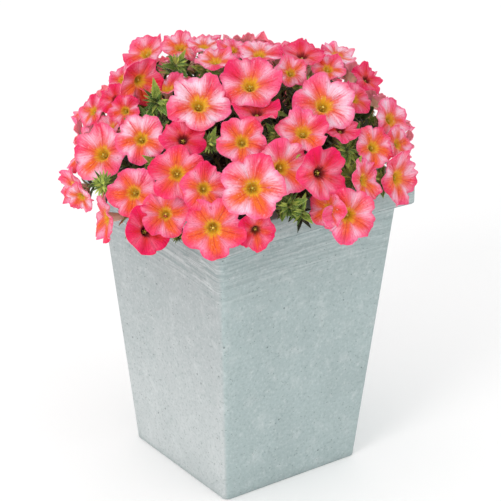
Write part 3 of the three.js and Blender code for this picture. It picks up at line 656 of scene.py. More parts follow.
# Blooms towards the camera: x, y in the picture, width, lean right and up, near, then how hot, pale and warm
frontBlooms = [
    (144, 50, 46, -0.5, 0.8, 0, 0.3, 0.4, 0.5), (180, 44, 40, -0.1, 1.0, 0, 0.1, 0.5, 0.6),
    (204, 43, 36, 0.1, 1.9, -8, 0.0, 0.7, 0.4), (215, 57, 42, -0.1, 1.3, 0, 0.2, 0.4, 0.5),
    (233, 47, 34, 0.2, 1.2, -4, 0.4, 0.3, 0.4), (260, 50, 44, 0.1, 1.3, -5, 0.1, 0.5, 0.3),
    (250, 81, 60, 0, 0.6, 5, 0.15, 0.3, 0.45), (200, 101, 62, 0.1, 0.5, 2, 0.0, 0.75, 0.5),
    (143, 82, 48, 0.7, -0.3, 0, 0.4, 0.1, 0.8), (119, 78, 34, -1.0, 0.6, -2, 0.2, 0.3, 0.4),
    (114, 98, 32, -0.5, 0.5, 2, 0.8, 0.1, 0.2), (90, 110, 34, -1.1, 0.5, 0, 0.3, 0.4, 0.5),
    (124, 110, 32, -0.3, 0.2, -5, 0.3, 0.3, 0.4), (99, 152, 58, -0.45, 0.3, 2, 0.1, 0.4, 0.5),
    (140, 138, 48, -0.15, 0.2, 0, 0.0, 0.5, 0.6), (183, 137, 44, 0, 0.5, -4, 0.95, 0.1, 0.2),
    (177, 173, 54, 0, 0.1, 4, 0.35, 0.2, 0.8), (205, 188, 48, 0.15, 0.1, -2, 0.4, 0.3, 0.8),
    (132, 192, 50, -0.3, 0.1, 0, 0.15, 0.2, 0.6), (165, 213, 46, -0.1, 0.15, -3, 0.2, 0.1, 0.9),
    (149, 230, 48, 0.5, 0.2, 10, 0.95, 0.1, 0.1), (213, 229, 60, 0, -0.1, 4, 0.45, 0.15, 1.0),
    (253, 187, 62, 0.05, 0.1, 5, 0.0, 0.5, 0.7), (242, 140, 48, 0, 0.3, 0, 0.15, 0.3, 0.75),
    (285, 167, 56, 0.5, 0.1, -2, 0.1, 0.5, 0.6), (303, 129, 52, 0, 0.6, -2, 0.15, 0.3, 0.6),
    (325, 102, 62, 0.2, 0.5, 4, 0.0, 0.55, 0.35), (323, 173, 52, 0.6, 0, 0, 0.85, 0.35, 0.2),
    (351, 216, 54, 0.4, -0.1, 4, 0.25, 0.4, 0.55), (326, 210, 38, -0.6, -0.2, -14, 0.2, 0.2, 1.0),
    (368, 180, 44, 1.4, 0.1, 0, 0.3, 0.2, 0.9), (376, 146, 44, 0.6, 0.3, 2, 0.15, 0.4, 0.8),
    (403, 178, 56, 1.3, 0, 2, 0.2, 0.5, 0.55), (401, 143, 38, 1.2, 0.4, -5, 0.2, 0.4, 0.6),
    (394, 118, 46, 0.9, 0.4, 0, 0.1, 0.6, 0.4), (369, 77, 36, 0.9, 0.9, 0, 0.85, 0.1, 0.2),
    (339, 52, 38, 0.7, 1.4, 0, 0.1, 0.7, 0.3), (303, 51, 46, 0.2, 1.5, 0, 0.8, 0.2, 0.2),
    (329, 66, 36, 0.3, 0.9, -4, 0.2, 0.4, 0.5), (291, 71, 34, 0.1, 0.5, -4, 0.2, 0.4, 0.6),
    (257, 108, 46, 0, 1.5, -5, 0.9, 0.1, 0.1), (342, 127, 36, 0.4, 0.9, -1, 0.9, 0.1, 0.1),
    (357, 97, 36, 0.9, 0.6, -5, 0.5, 0.2, 0.4), (256, 232, 38, 0.1, -0.4, -4, 0.75, 0.15, 0.5),
    (69, 188, 42, -1.7, -0.2, -2, 0.2, 0.3, 0.5), (79, 199, 32, -0.8, -0.9, 4, 0.1, 0.6, 0.6),
    (101, 218, 50, -2.6, -0.2, 0, 0.4, 0.3, 0.6), (106, 126, 44, -1.4, 1.1, -20, 0.3, 0.3, 0.4),
    (166, 84, 46, -0.4, 1.8, -26, 0.2, 0.3, 0.4),
]

# Leafy tips that show between them: x, y in the picture, leaf length, how far the young shoot goes on,
# and where in the picture it goes
frontTips = [
    (177, 66, 24, 8), (206, 70, 24, 4), (157, 102, 34, 4), (209, 145, 24, 12), (107, 180, 26, 40, 104, 183),
    (347, 152, 32, 10), (352, 178, 32, 6), (288, 207, 30, 8), (302, 213, 26, 8), (276, 136, 24, 8),
    (178, 236, 16, 4), (158, 166, 26, 6), (383, 182, 30, 2), (305, 88, 24, 4),
]


def seenPoint(x, y):  # where the mound shows at a place in the picture, and the way back to the camera
    eye, back, right, up = viewFrame()
    away = (right * ((x - view["middleX"]) / view["focal"])
            + up * (-(y - view["middleY"]) / view["focal"]) - back).normalized()
    scale = (1 / mound["radius"], 1 / mound["radius"], 1 / mound["height"])
    start = Vector([(e - m) * s for e, m, s in zip(eye, mound["middle"], scale)])
    step = Vector([w * s for w, s in zip(away, scale)])
    a = step.dot(step)
    b = start.dot(step)
    c = start.dot(start) - 1
    reach = (-b - math.sqrt(max(b * b - a * c, 0))) / a
    return eye + away * reach, -away


def moundPoint(steep, turn, shrink):
    radius = mound["radius"] - shrink
    height = mound["height"] - shrink
    flat = Vector((math.cos(steep) * math.cos(turn), math.cos(steep) * math.sin(turn), math.sin(steep)))
    point = mound["middle"] + Vector((radius * flat.x, radius * flat.y, height * flat.z))
    out = Vector((flat.x / radius, flat.y / radius, flat.z / height)).normalized()
    return point, out


def liftOverLip(point, room):
    beside, above = room
    if max(abs(point.x), abs(point.y)) > lipHalf + beside:
        return 0
    return max(lipTop + above - point.z, 0)


def stalkStart(bloom):
    return bloom["middle"] - bloom["face"] * (bloomShape["tube"] * bloom["radius"] + bloomShape["calyx"])


def bloomPlan():
    _, back, right, up = viewFrame()
    draw = seededDraw(growth["seed"])
    look = seededDraw(growth["seed"] + 9)
    blooms = []
    for x, y, across, leanRight, leanUp, near, hot, pale, warm in frontBlooms:
        point, toViewer = seenPoint(x, y)
        face = (toViewer + right * leanRight + up * leanUp).normalized()
        blooms.append({"middle": point + toViewer * near, "face": face, "radius": across / 2,
                       "spin": draw() * fullTurn, "hot": hot, "pale": pale, "warm": warm})
    for k in range(growth["tries"]):
        steep = math.asin(lerp(growth["lowest"], 1, (k + 0.5) / growth["tries"]))
        point, out = moundPoint(steep, k * growth["golden"], growth["shrink"])
        point.z += liftOverLip(point, growth["bloomRoom"])
        seen = out.dot(back) > growth["backEdge"] + growth["topEdge"] * out.z
        crowded = any((bloom["middle"] - point).length < growth["spacing"] for bloom in blooms)
        if seen or crowded:
            continue
        lean = Vector((draw() - 0.5, draw() - 0.5, draw() - 0.5))
        face = (out + lean * growth["lean"]).normalized()
        middle = point + face * (growth["lift"][0] + growth["lift"][1] * draw())
        across = lerp(*growth["across"], draw())
        bloom = {"middle": middle, "face": face, "radius": across / 2, "spin": draw() * fullTurn,
                 "hot": smooth(*growth["hotFrom"], look()) * growth["hottest"],
                 "pale": look() * growth["palest"], "warm": look()}
        middle.z += liftOverLip(stalkStart(bloom), growth["stalkRoom"])
        blooms.append(bloom)
    return blooms


def tipPlan(blooms):
    draw = seededDraw(growth["seed"] + 5)
    tips = []
    for x, y, length, further, *towards in frontTips:
        point, toViewer = seenPoint(x, y)
        out = (toViewer + Vector((0, 0, growth["tipLean"]))).normalized()
        tip = {"point": point - toViewer * growth["tipDepth"], "out": out, "length": length,
               "turn": fullTurn * draw(), "further": further}
        if towards:
            tip["youngOut"] = (seenPoint(*towards)[0] - tip["point"]).normalized()
        tips.append(tip)
    for k in range(growth["tries"]):
        if len(tips) >= len(frontTips) + growth["innerTips"]:
            break
        steep = math.asin(lerp(*growth["tipSteep"], k * growth["tipShare"] % 1))
        turn = k * growth["golden"] + growth["tipTurn"]
        point, out = moundPoint(steep, turn, growth["shrink"] + growth["tipDepth"])
        if any((bloom["middle"] - point).length < growth["tipBloomSpacing"] for bloom in blooms):
            continue
        if any((tip["point"] - point).length < growth["tipSpacing"] for tip in tips):
            continue
        length = leafShape["length"] * lerp(*growth["tipLengths"], draw())
        tips.append({"point": point, "out": out, "length": length, "turn": fullTurn * draw(),
                     "further": growth["further"]})
    return tips


def faceFrame(face):
    side = Vector((-face.y, face.x, 0))
    if side.length < 0.05:  # it faces straight up or down
        side = Vector((1, 0, 0))
    side.normalize()
    return side, face.cross(side)


def around(line, angle):
    side, other = faceFrame(line)
    return side * math.cos(angle) + other * math.sin(angle)


def bloomPoint(bloom, radius, angle, height):
    return bloom["middle"] + around(bloom["face"], angle) * radius + bloom["face"] * height


def sweepRings(path, radius, firstSide):
    side = firstSide
    angles = [fullTurn * k / stalkShape["sides"] for k in range(stalkShape["sides"])]
    rings = []
    for index, point in enumerate(path):
        along = (path[min(index + 1, len(path) - 1)] - path[max(index - 1, 0)]).normalized()
        side = (side - along * side.dot(along)).normalized()
        other = along.cross(side)
        rings.append([point + side * (radius * math.cos(a)) + other * (radius * math.sin(a)) for a in angles])
    return rings


def stemPlan():
    shoots = []
    for level, ring in enumerate(stemRings):
        for k in range(ring["count"]):
            angle = fullTurn * (k + ring["turn"]) / ring["count"]
            ray = Vector((math.cos(angle), math.sin(angle), 0))
            foot = ray * ring["holeRing"] + Vector((0, 0, soil["level"] - soil["holeDepth"] + soil["fit"]))
            heart = Vector((mound["middle"].x / 2, mound["middle"].y / 2, ring["height"]))
            fork = ray * ring["reach"] + heart
            rise = Vector((foot.x, foot.y, soil["level"] + stemShape["rise"]))
            bend = rise.lerp(fork, stemShape["elbow"]) + Vector((0, 0, stemShape["lift"]))
            past = fork + (fork - bend) * stemShape["past"]
            shoots.append({"node": f"shoot_{len(shoots) + 1}", "level": level, "k": k, "fork": fork,
                           "bend": bend, "stem": [foot, rise, bend, past], "joins": 0, "stalks": [],
                           "leaves": [], "calyxes": [], "further": [], "youngStems": []})
    return shoots


def stemFor(shoots, point):
    out = point - plantHeart
    steepness = math.degrees(math.atan2(out.z, math.hypot(out.x, out.y)))
    level = next(n for n, ring in enumerate(stemRings) if steepness < ring["steepest"])
    ring = stemRings[level]
    turn = math.atan2(out.y, out.x) / fullTurn
    k = math.floor(turn * ring["count"] - ring["turn"] + 0.5) % ring["count"]
    return next(shoot for shoot in shoots if shoot["level"] == level and shoot["k"] == k)


def stalkPaths(start, away, end):
    along = end - start
    length = along.length
    plain = start.lerp(end, stalkShape["plainShare"]) - away * (stalkShape["plainBack"] * length)
    along.normalize()
    if along.dot(away) < -stalkShape["straight"]:
        yield [start, end]
    for bend in stalkShape["bends"]:
        ways = 1 if bend == 0 else stalkShape["bendWays"]
        for k in range(ways):
            yield [start, plain + around(along, fullTurn * k / ways) * bend, end]


class Solids:  # the frame's own corners, to find which way each stalk and leaf was grown
    near = 0.05  # millimetres

    def __init__(self, start):
        corners = [(name, vert.co / toMetres) for name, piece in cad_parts.items()
                   if name.startswith(start) for vert in piece.data.vertices]
        self.names = [name for name, _ in corners]
        self.tree = KDTree(len(corners))
        for index, (_, place) in enumerate(corners):
            self.tree.insert(place, index)
        self.tree.balance()

    def has(self, point):
        return self.tree.find(point)[2] < self.near

    def owner(self, points):  # the node that holds most of these points
        found = [self.names[index] for _, index, gap in map(self.tree.find, points) if gap < self.near]
        return max(sorted(set(found)), key=found.count) if found else None


def carry(shoots, green, start, away, firstSide):  # finds the stalk that the frame holds
    own = stemFor(shoots, start)
    near = sorted(shoots, key=lambda shoot: (start - shoot["fork"]).length)[:stalkShape["stemChoices"]]
    for shoot in [own, *near]:
        for skip in stalkShape["joinSkips"]:
            share = stalkShape["joinStep"] * (shoot["joins"] + skip)
            if share > 1:
                continue
            end = shoot["fork"].lerp(shoot["bend"], share)
            for path in stalkPaths(start, away, end):
                ring = sweepRings(path, stalkShape["radius"], firstSide(path))[len(path) - 2]
                if sum(green.has(point) for point in ring) < 2:  # one corner may have been cut away
                    continue
                shoot["joins"] += skip + 1
                shoot["stalks"].append(path)
                return {"shoot": shoot, "path": path}
    return None


def leafTip(leaf):  # squares up the leaf's own directions, and gives its tip
    side = leaf["along"].cross(leaf["up"]).normalized()
    lift = side.cross(leaf["along"]).normalized()
    leaf["side"] = side
    leaf["lift"] = lift
    return leaf["root"] + leaf["along"] * leaf["length"] - lift * (leafShape["droop"] * leaf["length"])


def growLeaves(tip, carried, green):
    after = carried["path"][1]
    for k in range(leafShape["perTip"]):
        root = tip["point"].lerp(after, (1 + leafShape["step"] * k) / (tip["point"] - after).length)
        for size, lean, shift in product(leafShape["sizes"], leafShape["leans"], leafShape["shifts"]):
            away = around(tip["out"], tip["turn"] + leafShape["turn"] * k + shift)
            length = size * tip["length"]
            leaf = {"root": root, "along": (tip["out"] + away * lean).normalized(),
                    "up": tip["out"] - away / lean, "length": length,
                    "width": leafShape["slimness"] * length, "age": leafShape["tipAge"]}
            if green.has(leafTip(leaf)):
                carried["shoot"]["leaves"].append(leaf)
                break


def growStalkLeaf(bloom, carried, green):
    start, after = carried["path"][:2]
    share, lean, tilt = leafShape["onStalk"]
    line = (after - start).normalized()
    for k in range(leafShape["ways"]):
        away = around(line, bloom["spin"] + leafShape["turn"] * k)
        leaf = {"root": start.lerp(after, share), "along": (away - line * lean).normalized(),
                "up": -line - away * tilt, "length": leafShape["length"], "width": leafShape["width"],
                "age": leafShape["stalkAge"]}
        if green.has(leafTip(leaf)):
            carried["shoot"]["leaves"].append(leaf)
            return


def levelSide(path):  # which way a leafy tip's own stalk turns its first corner
    along = (path[1] - path[0]).normalized()
    return Vector((1, 0, 0)) if abs(along.z) > stalkShape["steep"] else Vector((0, 0, 1))


def growPlant():
    blooms = bloomPlan()
    tips = tipPlan(blooms)
    shoots = stemPlan()
    green = Solids("shoot_")
    for bloom in blooms:
        side = around(bloom["face"], bloom["spin"])
        bloom["carried"] = carry(shoots, green, stalkStart(bloom), bloom["face"], lambda path: side)
        if bloom["carried"]:
            bloom["carried"]["shoot"]["calyxes"].append(bloom)
    for tip in tips:
        tip["carried"] = carry(shoots, green, tip["point"], tip["out"], levelSide)
        if tip["carried"]:
            growLeaves(tip, tip["carried"], green)
    for bloom in blooms[::leafShape["stalksPerLeaf"]]:
        if bloom["carried"]:
            growStalkLeaf(bloom, bloom["carried"], green)
    petals = Solids("blooms_")
    for bloom in blooms:
        r = bloom["radius"]
        out, down = bloomShape["throat"]
        lobes = bloomShape["lobes"]
        spots = [bloomPoint(bloom, out * r, bloom["spin"] + fullTurn * (k + 0.5) / lobes, down * r)
                 for k in range(lobes)]
        spots += [bloomPoint(bloom, 0, 0, -bloomShape[end] * r) for end in ("bore", "tube")]
        bloom["node"] = petals.owner(spots)
    print("stalks not found:", sum(not bloom["carried"] for bloom in blooms),
          "blooms with no node:", sum(not bloom["node"] for bloom in blooms),
          "tips:", sum(bool(tip["carried"]) for tip in tips),
          "leaves:", sum(len(shoot["leaves"]) for shoot in shoots))
    return blooms, tips, shoots


blooms, tips, shoots = growPlant()
print("plant grown:", len(blooms), "blooms")

petalProfile = [  # out and up as shares of the bloom's radius, then 0 on top and 1 underneath
    (0.0, -0.64, 0), (0.07, -0.62, 0), (0.115, -0.53, 0), (0.15, -0.44, 0), (0.19, -0.35, 0),
    (0.25, -0.26, 0), (0.33, -0.205, 0), (0.42, -0.165, 0), (0.53, -0.128, 0), (0.64, -0.095, 0),
    (0.74, -0.066, 0), (0.83, -0.044, 0), (0.91, -0.027, 0), (0.965, -0.015, 0), (1.0, -0.008, 0),
    (1.0, -0.008, 1), (0.94, -0.02, 1), (0.83, -0.044, 1), (0.7, -0.078, 1), (0.53, -0.128, 1),
    (0.38, -0.18, 1), (0.26, -0.25, 1), (0.195, -0.36, 1), (0.155, -0.54, 1), (0.12, -0.8, 1),
    (0.08, -0.98, 1), (0.0, -1.02, 1),
]
petalShape = {
    "turns": 90, "notch": (0.8, 0.12), "broad": 0.42, "reach": 1.03, "reachFrom": (0.3, 1.0),
    "limbFrom": (0.22, 0.55), "tubeFrom": (0.5, 0.2), "pleat": 0.07, "pleatWidth": 0.08,
    "cup": 0.04, "cupFrom": (0.25, 0.6), "cupTo": (1.1, 0.7),
    "keel": 0.08, "keelLeast": 0.3, "keelWidth": 0.09, "vee": (-0.14, 0.2),
    "twist": 0.14, "skew": 0.16, "curl": 0.18, "curlFrom": (0.72, 1.0),
    "ruffle": 0.05, "ruffleCounts": (8, 15, 26), "ruffleMore": 4, "ruffleSizes": (0.5, 0.9),
    "ruffleFrom": (0.4, 1.0), "evenCount": 9, "edgeWave": 0.022, "edgeFrom": (0.7, 1.0),
    "tintFrom": (0.2, 0.5), "hotShift": 0.5, "hotLobe": (0.84, 0.5), "paleShift": 0.8, "warmShift": 0.8,
    "warmBelow": 0.35, "apart": 0.001, "weld": 0.0002,
}
tuck = {  # how far petals are held under those of a higher bloom
    "room": 1.8, "step": 0.7, "steps": 4, "heights": (-14, 13), "bowl": (0.02, 0.34, 1.3),
    "fade": (16, 11), "edge": (1.05, 0.92),
}
stamenShape = {
    "stigma": 0.05, "stigmaAt": -0.36, "flat": 0.6, "sides": 5, "style": (0.5, 0.45), "styleLength": 0.28,
    "styleAt": -0.5, "anthers": 5, "antherSize": 0.5, "antherOut": 0.08, "antherAt": -0.43, "antherLong": 1.5,
}


def petalTemplate():  # the profile spun round; unit radius, with a map of turn and distance out
    bm = bmesh.new()
    under = bm.verts.layers.float.new("under")
    chain = []
    for out, up, side in petalProfile:
        vert = bm.verts.new((out, 0, up - petalShape["apart"] * side))
        vert[under] = side
        chain.append(vert)
    edges = [bm.edges.new(pair) for pair in zip(chain, chain[1:])]
    bmesh.ops.spin(bm, geom=chain + edges, cent=(0, 0, 0), axis=(0, 0, 1), angle=fullTurn,
                   steps=petalShape["turns"], use_merge=True, use_duplicate=False)
    bmesh.ops.remove_doubles(bm, verts=bm.verts[:], dist=petalShape["weld"])
    bmesh.ops.recalc_face_normals(bm, faces=bm.faces[:])
    petalMap = bm.loops.layers.uv.new("petalMap")
    for face in bm.faces:
        middle = face.calc_center_median()
        centre = math.atan2(middle.y, middle.x)
        for loop in face.loops:
            out = math.hypot(loop.vert.co.x, loop.vert.co.y)
            turn = math.atan2(loop.vert.co.y, loop.vert.co.x) if out > 0.001 else centre
            turn += fullTurn * round((centre - turn) / fullTurn)
            loop[petalMap].uv = (turn * bloomShape["lobes"] / fullTurn, out)
    return meshOf("petalTemplate", bm)


def lobesOf(index):  # how far each lobe has grown and droops, drawn as in the frame, then its folds and tint
    draw = seededDraw(bloomShape["seed"] + bloomShape["seedStep"] * index)
    least, more = petalShape["ruffleSizes"]
    lobes = []
    for _ in range(bloomShape["lobes"]):
        droop = bloomShape["droop"][0] + bloomShape["droop"][1] * draw()
        lobes.append({"droop": droop, "grown": bloomShape["growth"][0] + bloomShape["growth"][1] * draw()})
    for lobe in lobes:
        for fold in ("twist", "skew", "curl"):
            lobe[fold] = petalShape[fold] * (2 * draw() - 1)
        lobe["keel"] = petalShape["keel"] * (petalShape["keelLeast"] + draw())
    notch = petalShape["notch"][0] + petalShape["notch"][1] * draw()
    ruffles = [(count + int(petalShape["ruffleMore"] * draw()), fullTurn * draw(), least + more * draw())
               for count in petalShape["ruffleCounts"]]
    for lobe in lobes:
        lobe["vee"] = petalShape["vee"][0] + petalShape["vee"][1] * draw()
        lobe["hot"] = petalShape["hotShift"] * (draw() - 0.5)
        if draw() > petalShape["hotLobe"][0]:
            lobe["hot"] += petalShape["hotLobe"][1]
        lobe["pale"] = petalShape["paleShift"] * (draw() - 0.5)
        lobe["warm"] = petalShape["warmShift"] * (draw() - 0.5)
    return lobes, notch, ruffles


def shapeCorolla(verts, under, tint, bloom, index):
    lobes, notch, ruffles = lobesOf(index)
    r = bloom["radius"]
    step = fullTurn / bloomShape["lobes"]
    side, other = faceFrame(bloom["face"])
    for vert in verts:
        out = math.hypot(vert.co.x, vert.co.y)
        angle = math.atan2(vert.co.y, vert.co.x) % fullTurn
        number = min(int(angle / step), bloomShape["lobes"] - 1)
        share = angle / step - number
        lobe = lobes[number]
        mid = 0.5 - 0.5 * math.cos(fullTurn * share)
        broad = mid ** petalShape["broad"]
        reach = smooth(*petalShape["reachFrom"], out)
        limb = smooth(*petalShape["limbFrom"], out)
        edge = lerp(notch, lobe["grown"] * petalShape["reach"], broad)
        radius = r * out * lerp(1, edge, reach)
        up = vert.co.z + reach * lerp(bloomShape["notchDroop"], lobe["droop"], broad)
        nearJoint = min(share, 1 - share) / petalShape["pleatWidth"]
        up -= petalShape["pleat"] * math.exp(-nearJoint ** 2) * limb
        up -= lobe["keel"] * math.exp(-((share - 0.5) / petalShape["keelWidth"]) ** 2) * limb
        cup = smooth(*petalShape["cupFrom"], out) * smooth(*petalShape["cupTo"], out)
        up += petalShape["cup"] * mid * cup
        up += lobe["twist"] * math.sin(fullTurn * share) * reach
        up += lobe["curl"] * mid * smooth(*petalShape["curlFrom"], out)
        up += lobe["vee"] * (1 - abs(2 * share - 1)) * limb
        for count, phase, size in ruffles:
            wave = size * petalShape["evenCount"] / count * math.sin(count * angle + phase)
            up += petalShape["ruffle"] * wave * smooth(*petalShape["ruffleFrom"], out)
            radius += r * petalShape["edgeWave"] * wave * smooth(*petalShape["edgeFrom"], out)
        height = r * up
        if vert[under]:
            tube = smooth(*petalShape["tubeFrom"], out)
            height -= bloomShape["petal"] * (1 - tube)
            radius += bloomShape["petal"] * tube * smooth(0.0, 0.05, out)
        spot = angle + bloom["spin"] + lobe["skew"] * mid * reach
        flat = side * math.cos(spot) + other * math.sin(spot)
        vert.co = bloom["middle"] + flat * radius + bloom["face"] * height
        own = broad * smooth(*petalShape["tintFrom"], out)  # a lobe's own tint fades towards the throat
        warm = bloom["warm"] + own * (lobe["warm"] - petalShape["warmBelow"] * flat.z)
        vert[tint] = (max(bloom["hot"] + own * lobe["hot"], 0), max(bloom["pale"] + own * lobe["pale"], 0),
                      max(warm, 0), vert[under])


def tuckUnder(verts, under, bloom, index, blooms):  # petals pass under a higher bloom's, not through
    room = tuck["room"] + tuck["step"] * (index % tuck["steps"])  # neighbours pass at unlike depths
    lowest, highest = tuck["heights"]
    rim, depth, power = tuck["bowl"]
    for upper in blooms:
        between = bloom["middle"] - upper["middle"]
        if upper is bloom or between.length > bloom["radius"] + upper["radius"]:
            continue
        if between.dot(bloom["face"] + upper["face"]) >= 0:
            continue
        for vert in verts:
            away = vert.co - upper["middle"]
            height = away.dot(upper["face"])
            if not lowest < height < highest:
                continue
            across = (away - upper["face"] * height).length / upper["radius"]
            if across > tuck["edge"][0]:
                continue
            above = height + upper["radius"] * (rim + depth * max(1 - across, 0) ** power) + room
            above += bloomShape["petal"] * vert[under]
            push = max(above, 0) * smooth(*tuck["fade"], above) * smooth(*tuck["edge"], across)
            vert.co -= upper["face"] * push


def addStamens(bm, bloom):  # a pale stigma with anthers round it, deep in the throat
    side, other = faceFrame(bloom["face"])
    r = bloom["radius"]
    throat = Matrix.Translation(bloom["middle"]) @ Matrix((side, other, bloom["face"])).transposed().to_4x4()
    before = len(bm.faces)
    size = stamenShape["stigma"] * r

    def bead(x, y, z, radius, stretch):
        spot = throat @ Matrix.Translation((x, y, z)) @ Matrix.Diagonal((1, 1, stretch, 1))
        bmesh.ops.create_icosphere(bm, subdivisions=1, radius=radius, matrix=spot)

    bead(0, 0, stamenShape["stigmaAt"] * r, size, stamenShape["flat"])
    wide, narrow = stamenShape["style"]
    bmesh.ops.create_cone(bm, cap_ends=True, segments=stamenShape["sides"], radius1=wide, radius2=narrow,
                          depth=stamenShape["styleLength"] * r,
                          matrix=throat @ Matrix.Translation((0, 0, stamenShape["styleAt"] * r)))
    out = stamenShape["antherOut"] * r
    for k in range(stamenShape["anthers"]):
        angle = bloom["spin"] + fullTurn * k / stamenShape["anthers"]
        bead(out * math.cos(angle), out * math.sin(angle), stamenShape["antherAt"] * r,
             stamenShape["antherSize"] * size, stamenShape["antherLong"])
    bm.faces.ensure_lookup_table()
    for face in bm.faces[before:]:
        face.material_index = 1


def addCopy(bm, template, tintName):  # copies a template in; gives its new corners, faces and their layers
    corners = len(bm.verts)
    faces = len(bm.faces)
    bm.from_mesh(template)
    tint = bm.verts.layers.float_color.get(tintName) or bm.verts.layers.float_color.new(tintName)
    bm.verts.ensure_lookup_table()
    bm.faces.ensure_lookup_table()
    return bm.verts[corners:], bm.faces[faces:], bm.verts.layers.float["under"], tint


def makeBunches(blooms):
    template = petalTemplate()
    for node in sorted({bloom["node"] for bloom in blooms}):
        bm = bmesh.new()
        for index, bloom in enumerate(blooms):
            if bloom["node"] != node:
                continue
            corolla, _, under, tint = addCopy(bm, template, "petalTint")
            shapeCorolla(corolla, under, tint, bloom, index)
            tuckUnder(corolla, under, bloom, index, blooms)
            addStamens(bm, bloom)
        name = node.replace("blooms", "bloomBunch")
        declare(newObject(name, bm, finishes["petal"], finishes["stigma"]), node)
    bpy.data.meshes.remove(template)


makeBunches(blooms)
print("blooms made:", len(blooms))

tubeShape = {"sides": 1, "steps": 4, "knot": 1.9, "weld": 0.003}
sepalShape = {
    "grid": (2, 6), "width": 3.6, "rootOut": 1.6, "rootBelow": 1.2, "length": 1.04, "age": 0.5,
    "thickness": 0.5,
}
bladeShape = {
    "fine": (6, 12), "plain": (3, 6), "bare": (2, 5), "outline": (0.75, 0.8), "trim": 0.66, "seed": 612,
    "lengths": (0.7, 0.6), "hairs": 18, "reach": 0.3, "width": 0.011, "edge": 0.49, "from": -0.42,
    "over": 0.86, "tilt": (78, 20), "topHairs": 6, "topReach": 1.6, "topWidth": 1.3, "topFrom": -0.35,
    "topOver": 0.75, "topAcross": 0.7,
}
fillShape = {
    "seed": 4021, "lookSeed": 301, "perStalk": 19, "perStem": 14, "tries": 6, "length": (11, 23),
    "slimness": 0.25, "outward": (0.2, 0.8), "upward": 0.3, "faceUp": 0.6, "depth": 0.97, "above": 16,
    "lipRoom": 3, "petalRoom": 1.04, "petalBowl": (0.34, 1.2), "petalBelow": 5, "middle": 0.6,
    "bareBelow": 0.76, "shade": (0.84, 1.0), "agesByShade": (1.0, 0.2),
    "tested": ((0.4, 0), (0.5, 0.5), (0.5, -0.5), (0.75, 0), (1.0, 0)),  # along the leaf, and across it
}
tuftShape = {
    "leaves": 34, "slimness": 0.16, "length": 0.75, "lengths": (0.75, 1), "sizes": (0.9, 0.7, 0.5, 0.35),
    "turn": 0.9, "spread": (0.2, 1.3), "along": 16, "rootIn": 0.8, "tipRadius": 0.6, "thickness": 0.5,
    "age": 0.1, "ageChance": 0.4, "ageDown": 0.2, "room": (1.06, 16), "youngRoom": (1.25, 2.5),
}


def leafTemplate(columns, rows, hairy=True):  # a unit grid with a thin second face, and hairs on its margins
    bm = bmesh.new()
    bmesh.ops.create_grid(bm, x_segments=columns, y_segments=rows, size=0.5)
    bmesh.ops.solidify(bm, geom=bm.faces[:], thickness=0.01)
    middle = sum(vert.co.z for vert in bm.verts) / len(bm.verts)
    under = bm.verts.layers.float.new("under")
    hair = bm.verts.layers.float.new("hair")
    leafMap = bm.loops.layers.uv.new("leafMap")
    for vert in bm.verts:
        vert[under] = 1 if vert.co.z < middle else 0
        vert.co.z = 0
    blade = len(bm.verts)
    if hairy:
        addHairs(bm)
    bm.verts.ensure_lookup_table()
    for vert in bm.verts[blade:]:
        vert[hair] = 1
    for face in bm.faces:
        for loop in face.loops:
            loop[leafMap].uv = (loop.vert.co.x + 0.5, loop.vert.co.y + 0.5)
    bmesh.ops.recalc_face_normals(bm, faces=bm.faces[:])
    return meshOf("leafTemplate", bm)


def addHairs(bm):  # fine cones that stand out from both margins, then some on top
    draw = seededDraw(bladeShape["seed"])
    least, more = bladeShape["lengths"]
    tilt, tiltMore = bladeShape["tilt"]
    width = bladeShape["width"]
    edge = bladeShape["edge"]
    for k in range(bladeShape["hairs"]):
        way = 1 if k % 2 else -1
        reach = bladeShape["reach"] * (least + more * draw())
        y = bladeShape["from"] + bladeShape["over"] * (k + draw()) / bladeShape["hairs"]
        turned = Matrix.Rotation(way * math.radians(tilt + tiltMore * draw()), 4, "Y")
        bmesh.ops.create_cone(bm, cap_ends=True, segments=3, radius1=width, radius2=0, depth=reach,
                              matrix=Matrix.Translation((way * (edge + reach / 2), y, 0)) @ turned)
    for k in range(bladeShape["topHairs"]):
        reach = bladeShape["topReach"] * (least + more * draw())
        x = bladeShape["topAcross"] * (draw() - 0.5)
        y = bladeShape["topFrom"] + bladeShape["topOver"] * (k + draw()) / bladeShape["topHairs"]
        bmesh.ops.create_cone(bm, cap_ends=True, segments=3, radius1=width * bladeShape["topWidth"],
                              radius2=0, depth=reach, matrix=Matrix.Translation((x, y, reach / 2)))


def bladeWidth(along):  # the blade's width along it, as a share of its widest, never quite nothing
    early, full = bladeShape["outline"]
    return max(max(math.sin(math.pi * along ** early), 0) ** full, leafShape["narrowest"])


def addLeaf(bm, template, leaf, chance, material):
    verts, faces, under, tint = addCopy(bm, template, "leafTint")
    hair = bm.verts.layers.float["hair"]
    leafTip(leaf)
    length = leaf["length"]
    for vert in verts:
        across = 2 * vert.co.x
        along = min(max(vert.co.y + 0.5, 0.0), 1.0)
        half = 0.5 * leaf["width"] * bladeWidth(along)
        inBlade = min(abs(across), 1.0)
        lift = leafShape["fold"] * half * inBlade ** leafShape["foldPower"]
        lift -= leafShape["droop"] * length * along ** leafShape["droopPower"]
        wave = math.sin(fullTurn * (leafShape["ripples"] * along + chance))
        lift += leafShape["ripple"] * leaf["width"] * inBlade * wave
        lift += vert.co.z - vert[under] * leaf.get("thick", leafShape["thickness"])
        flat = leaf["root"] + leaf["along"] * (along * length) + leaf["side"] * (across * half)
        vert.co = flat + leaf["lift"] * lift
        vert[tint] = (leaf["age"], chance, vert[hair], 1)
    for face in faces:
        face.material_index = material


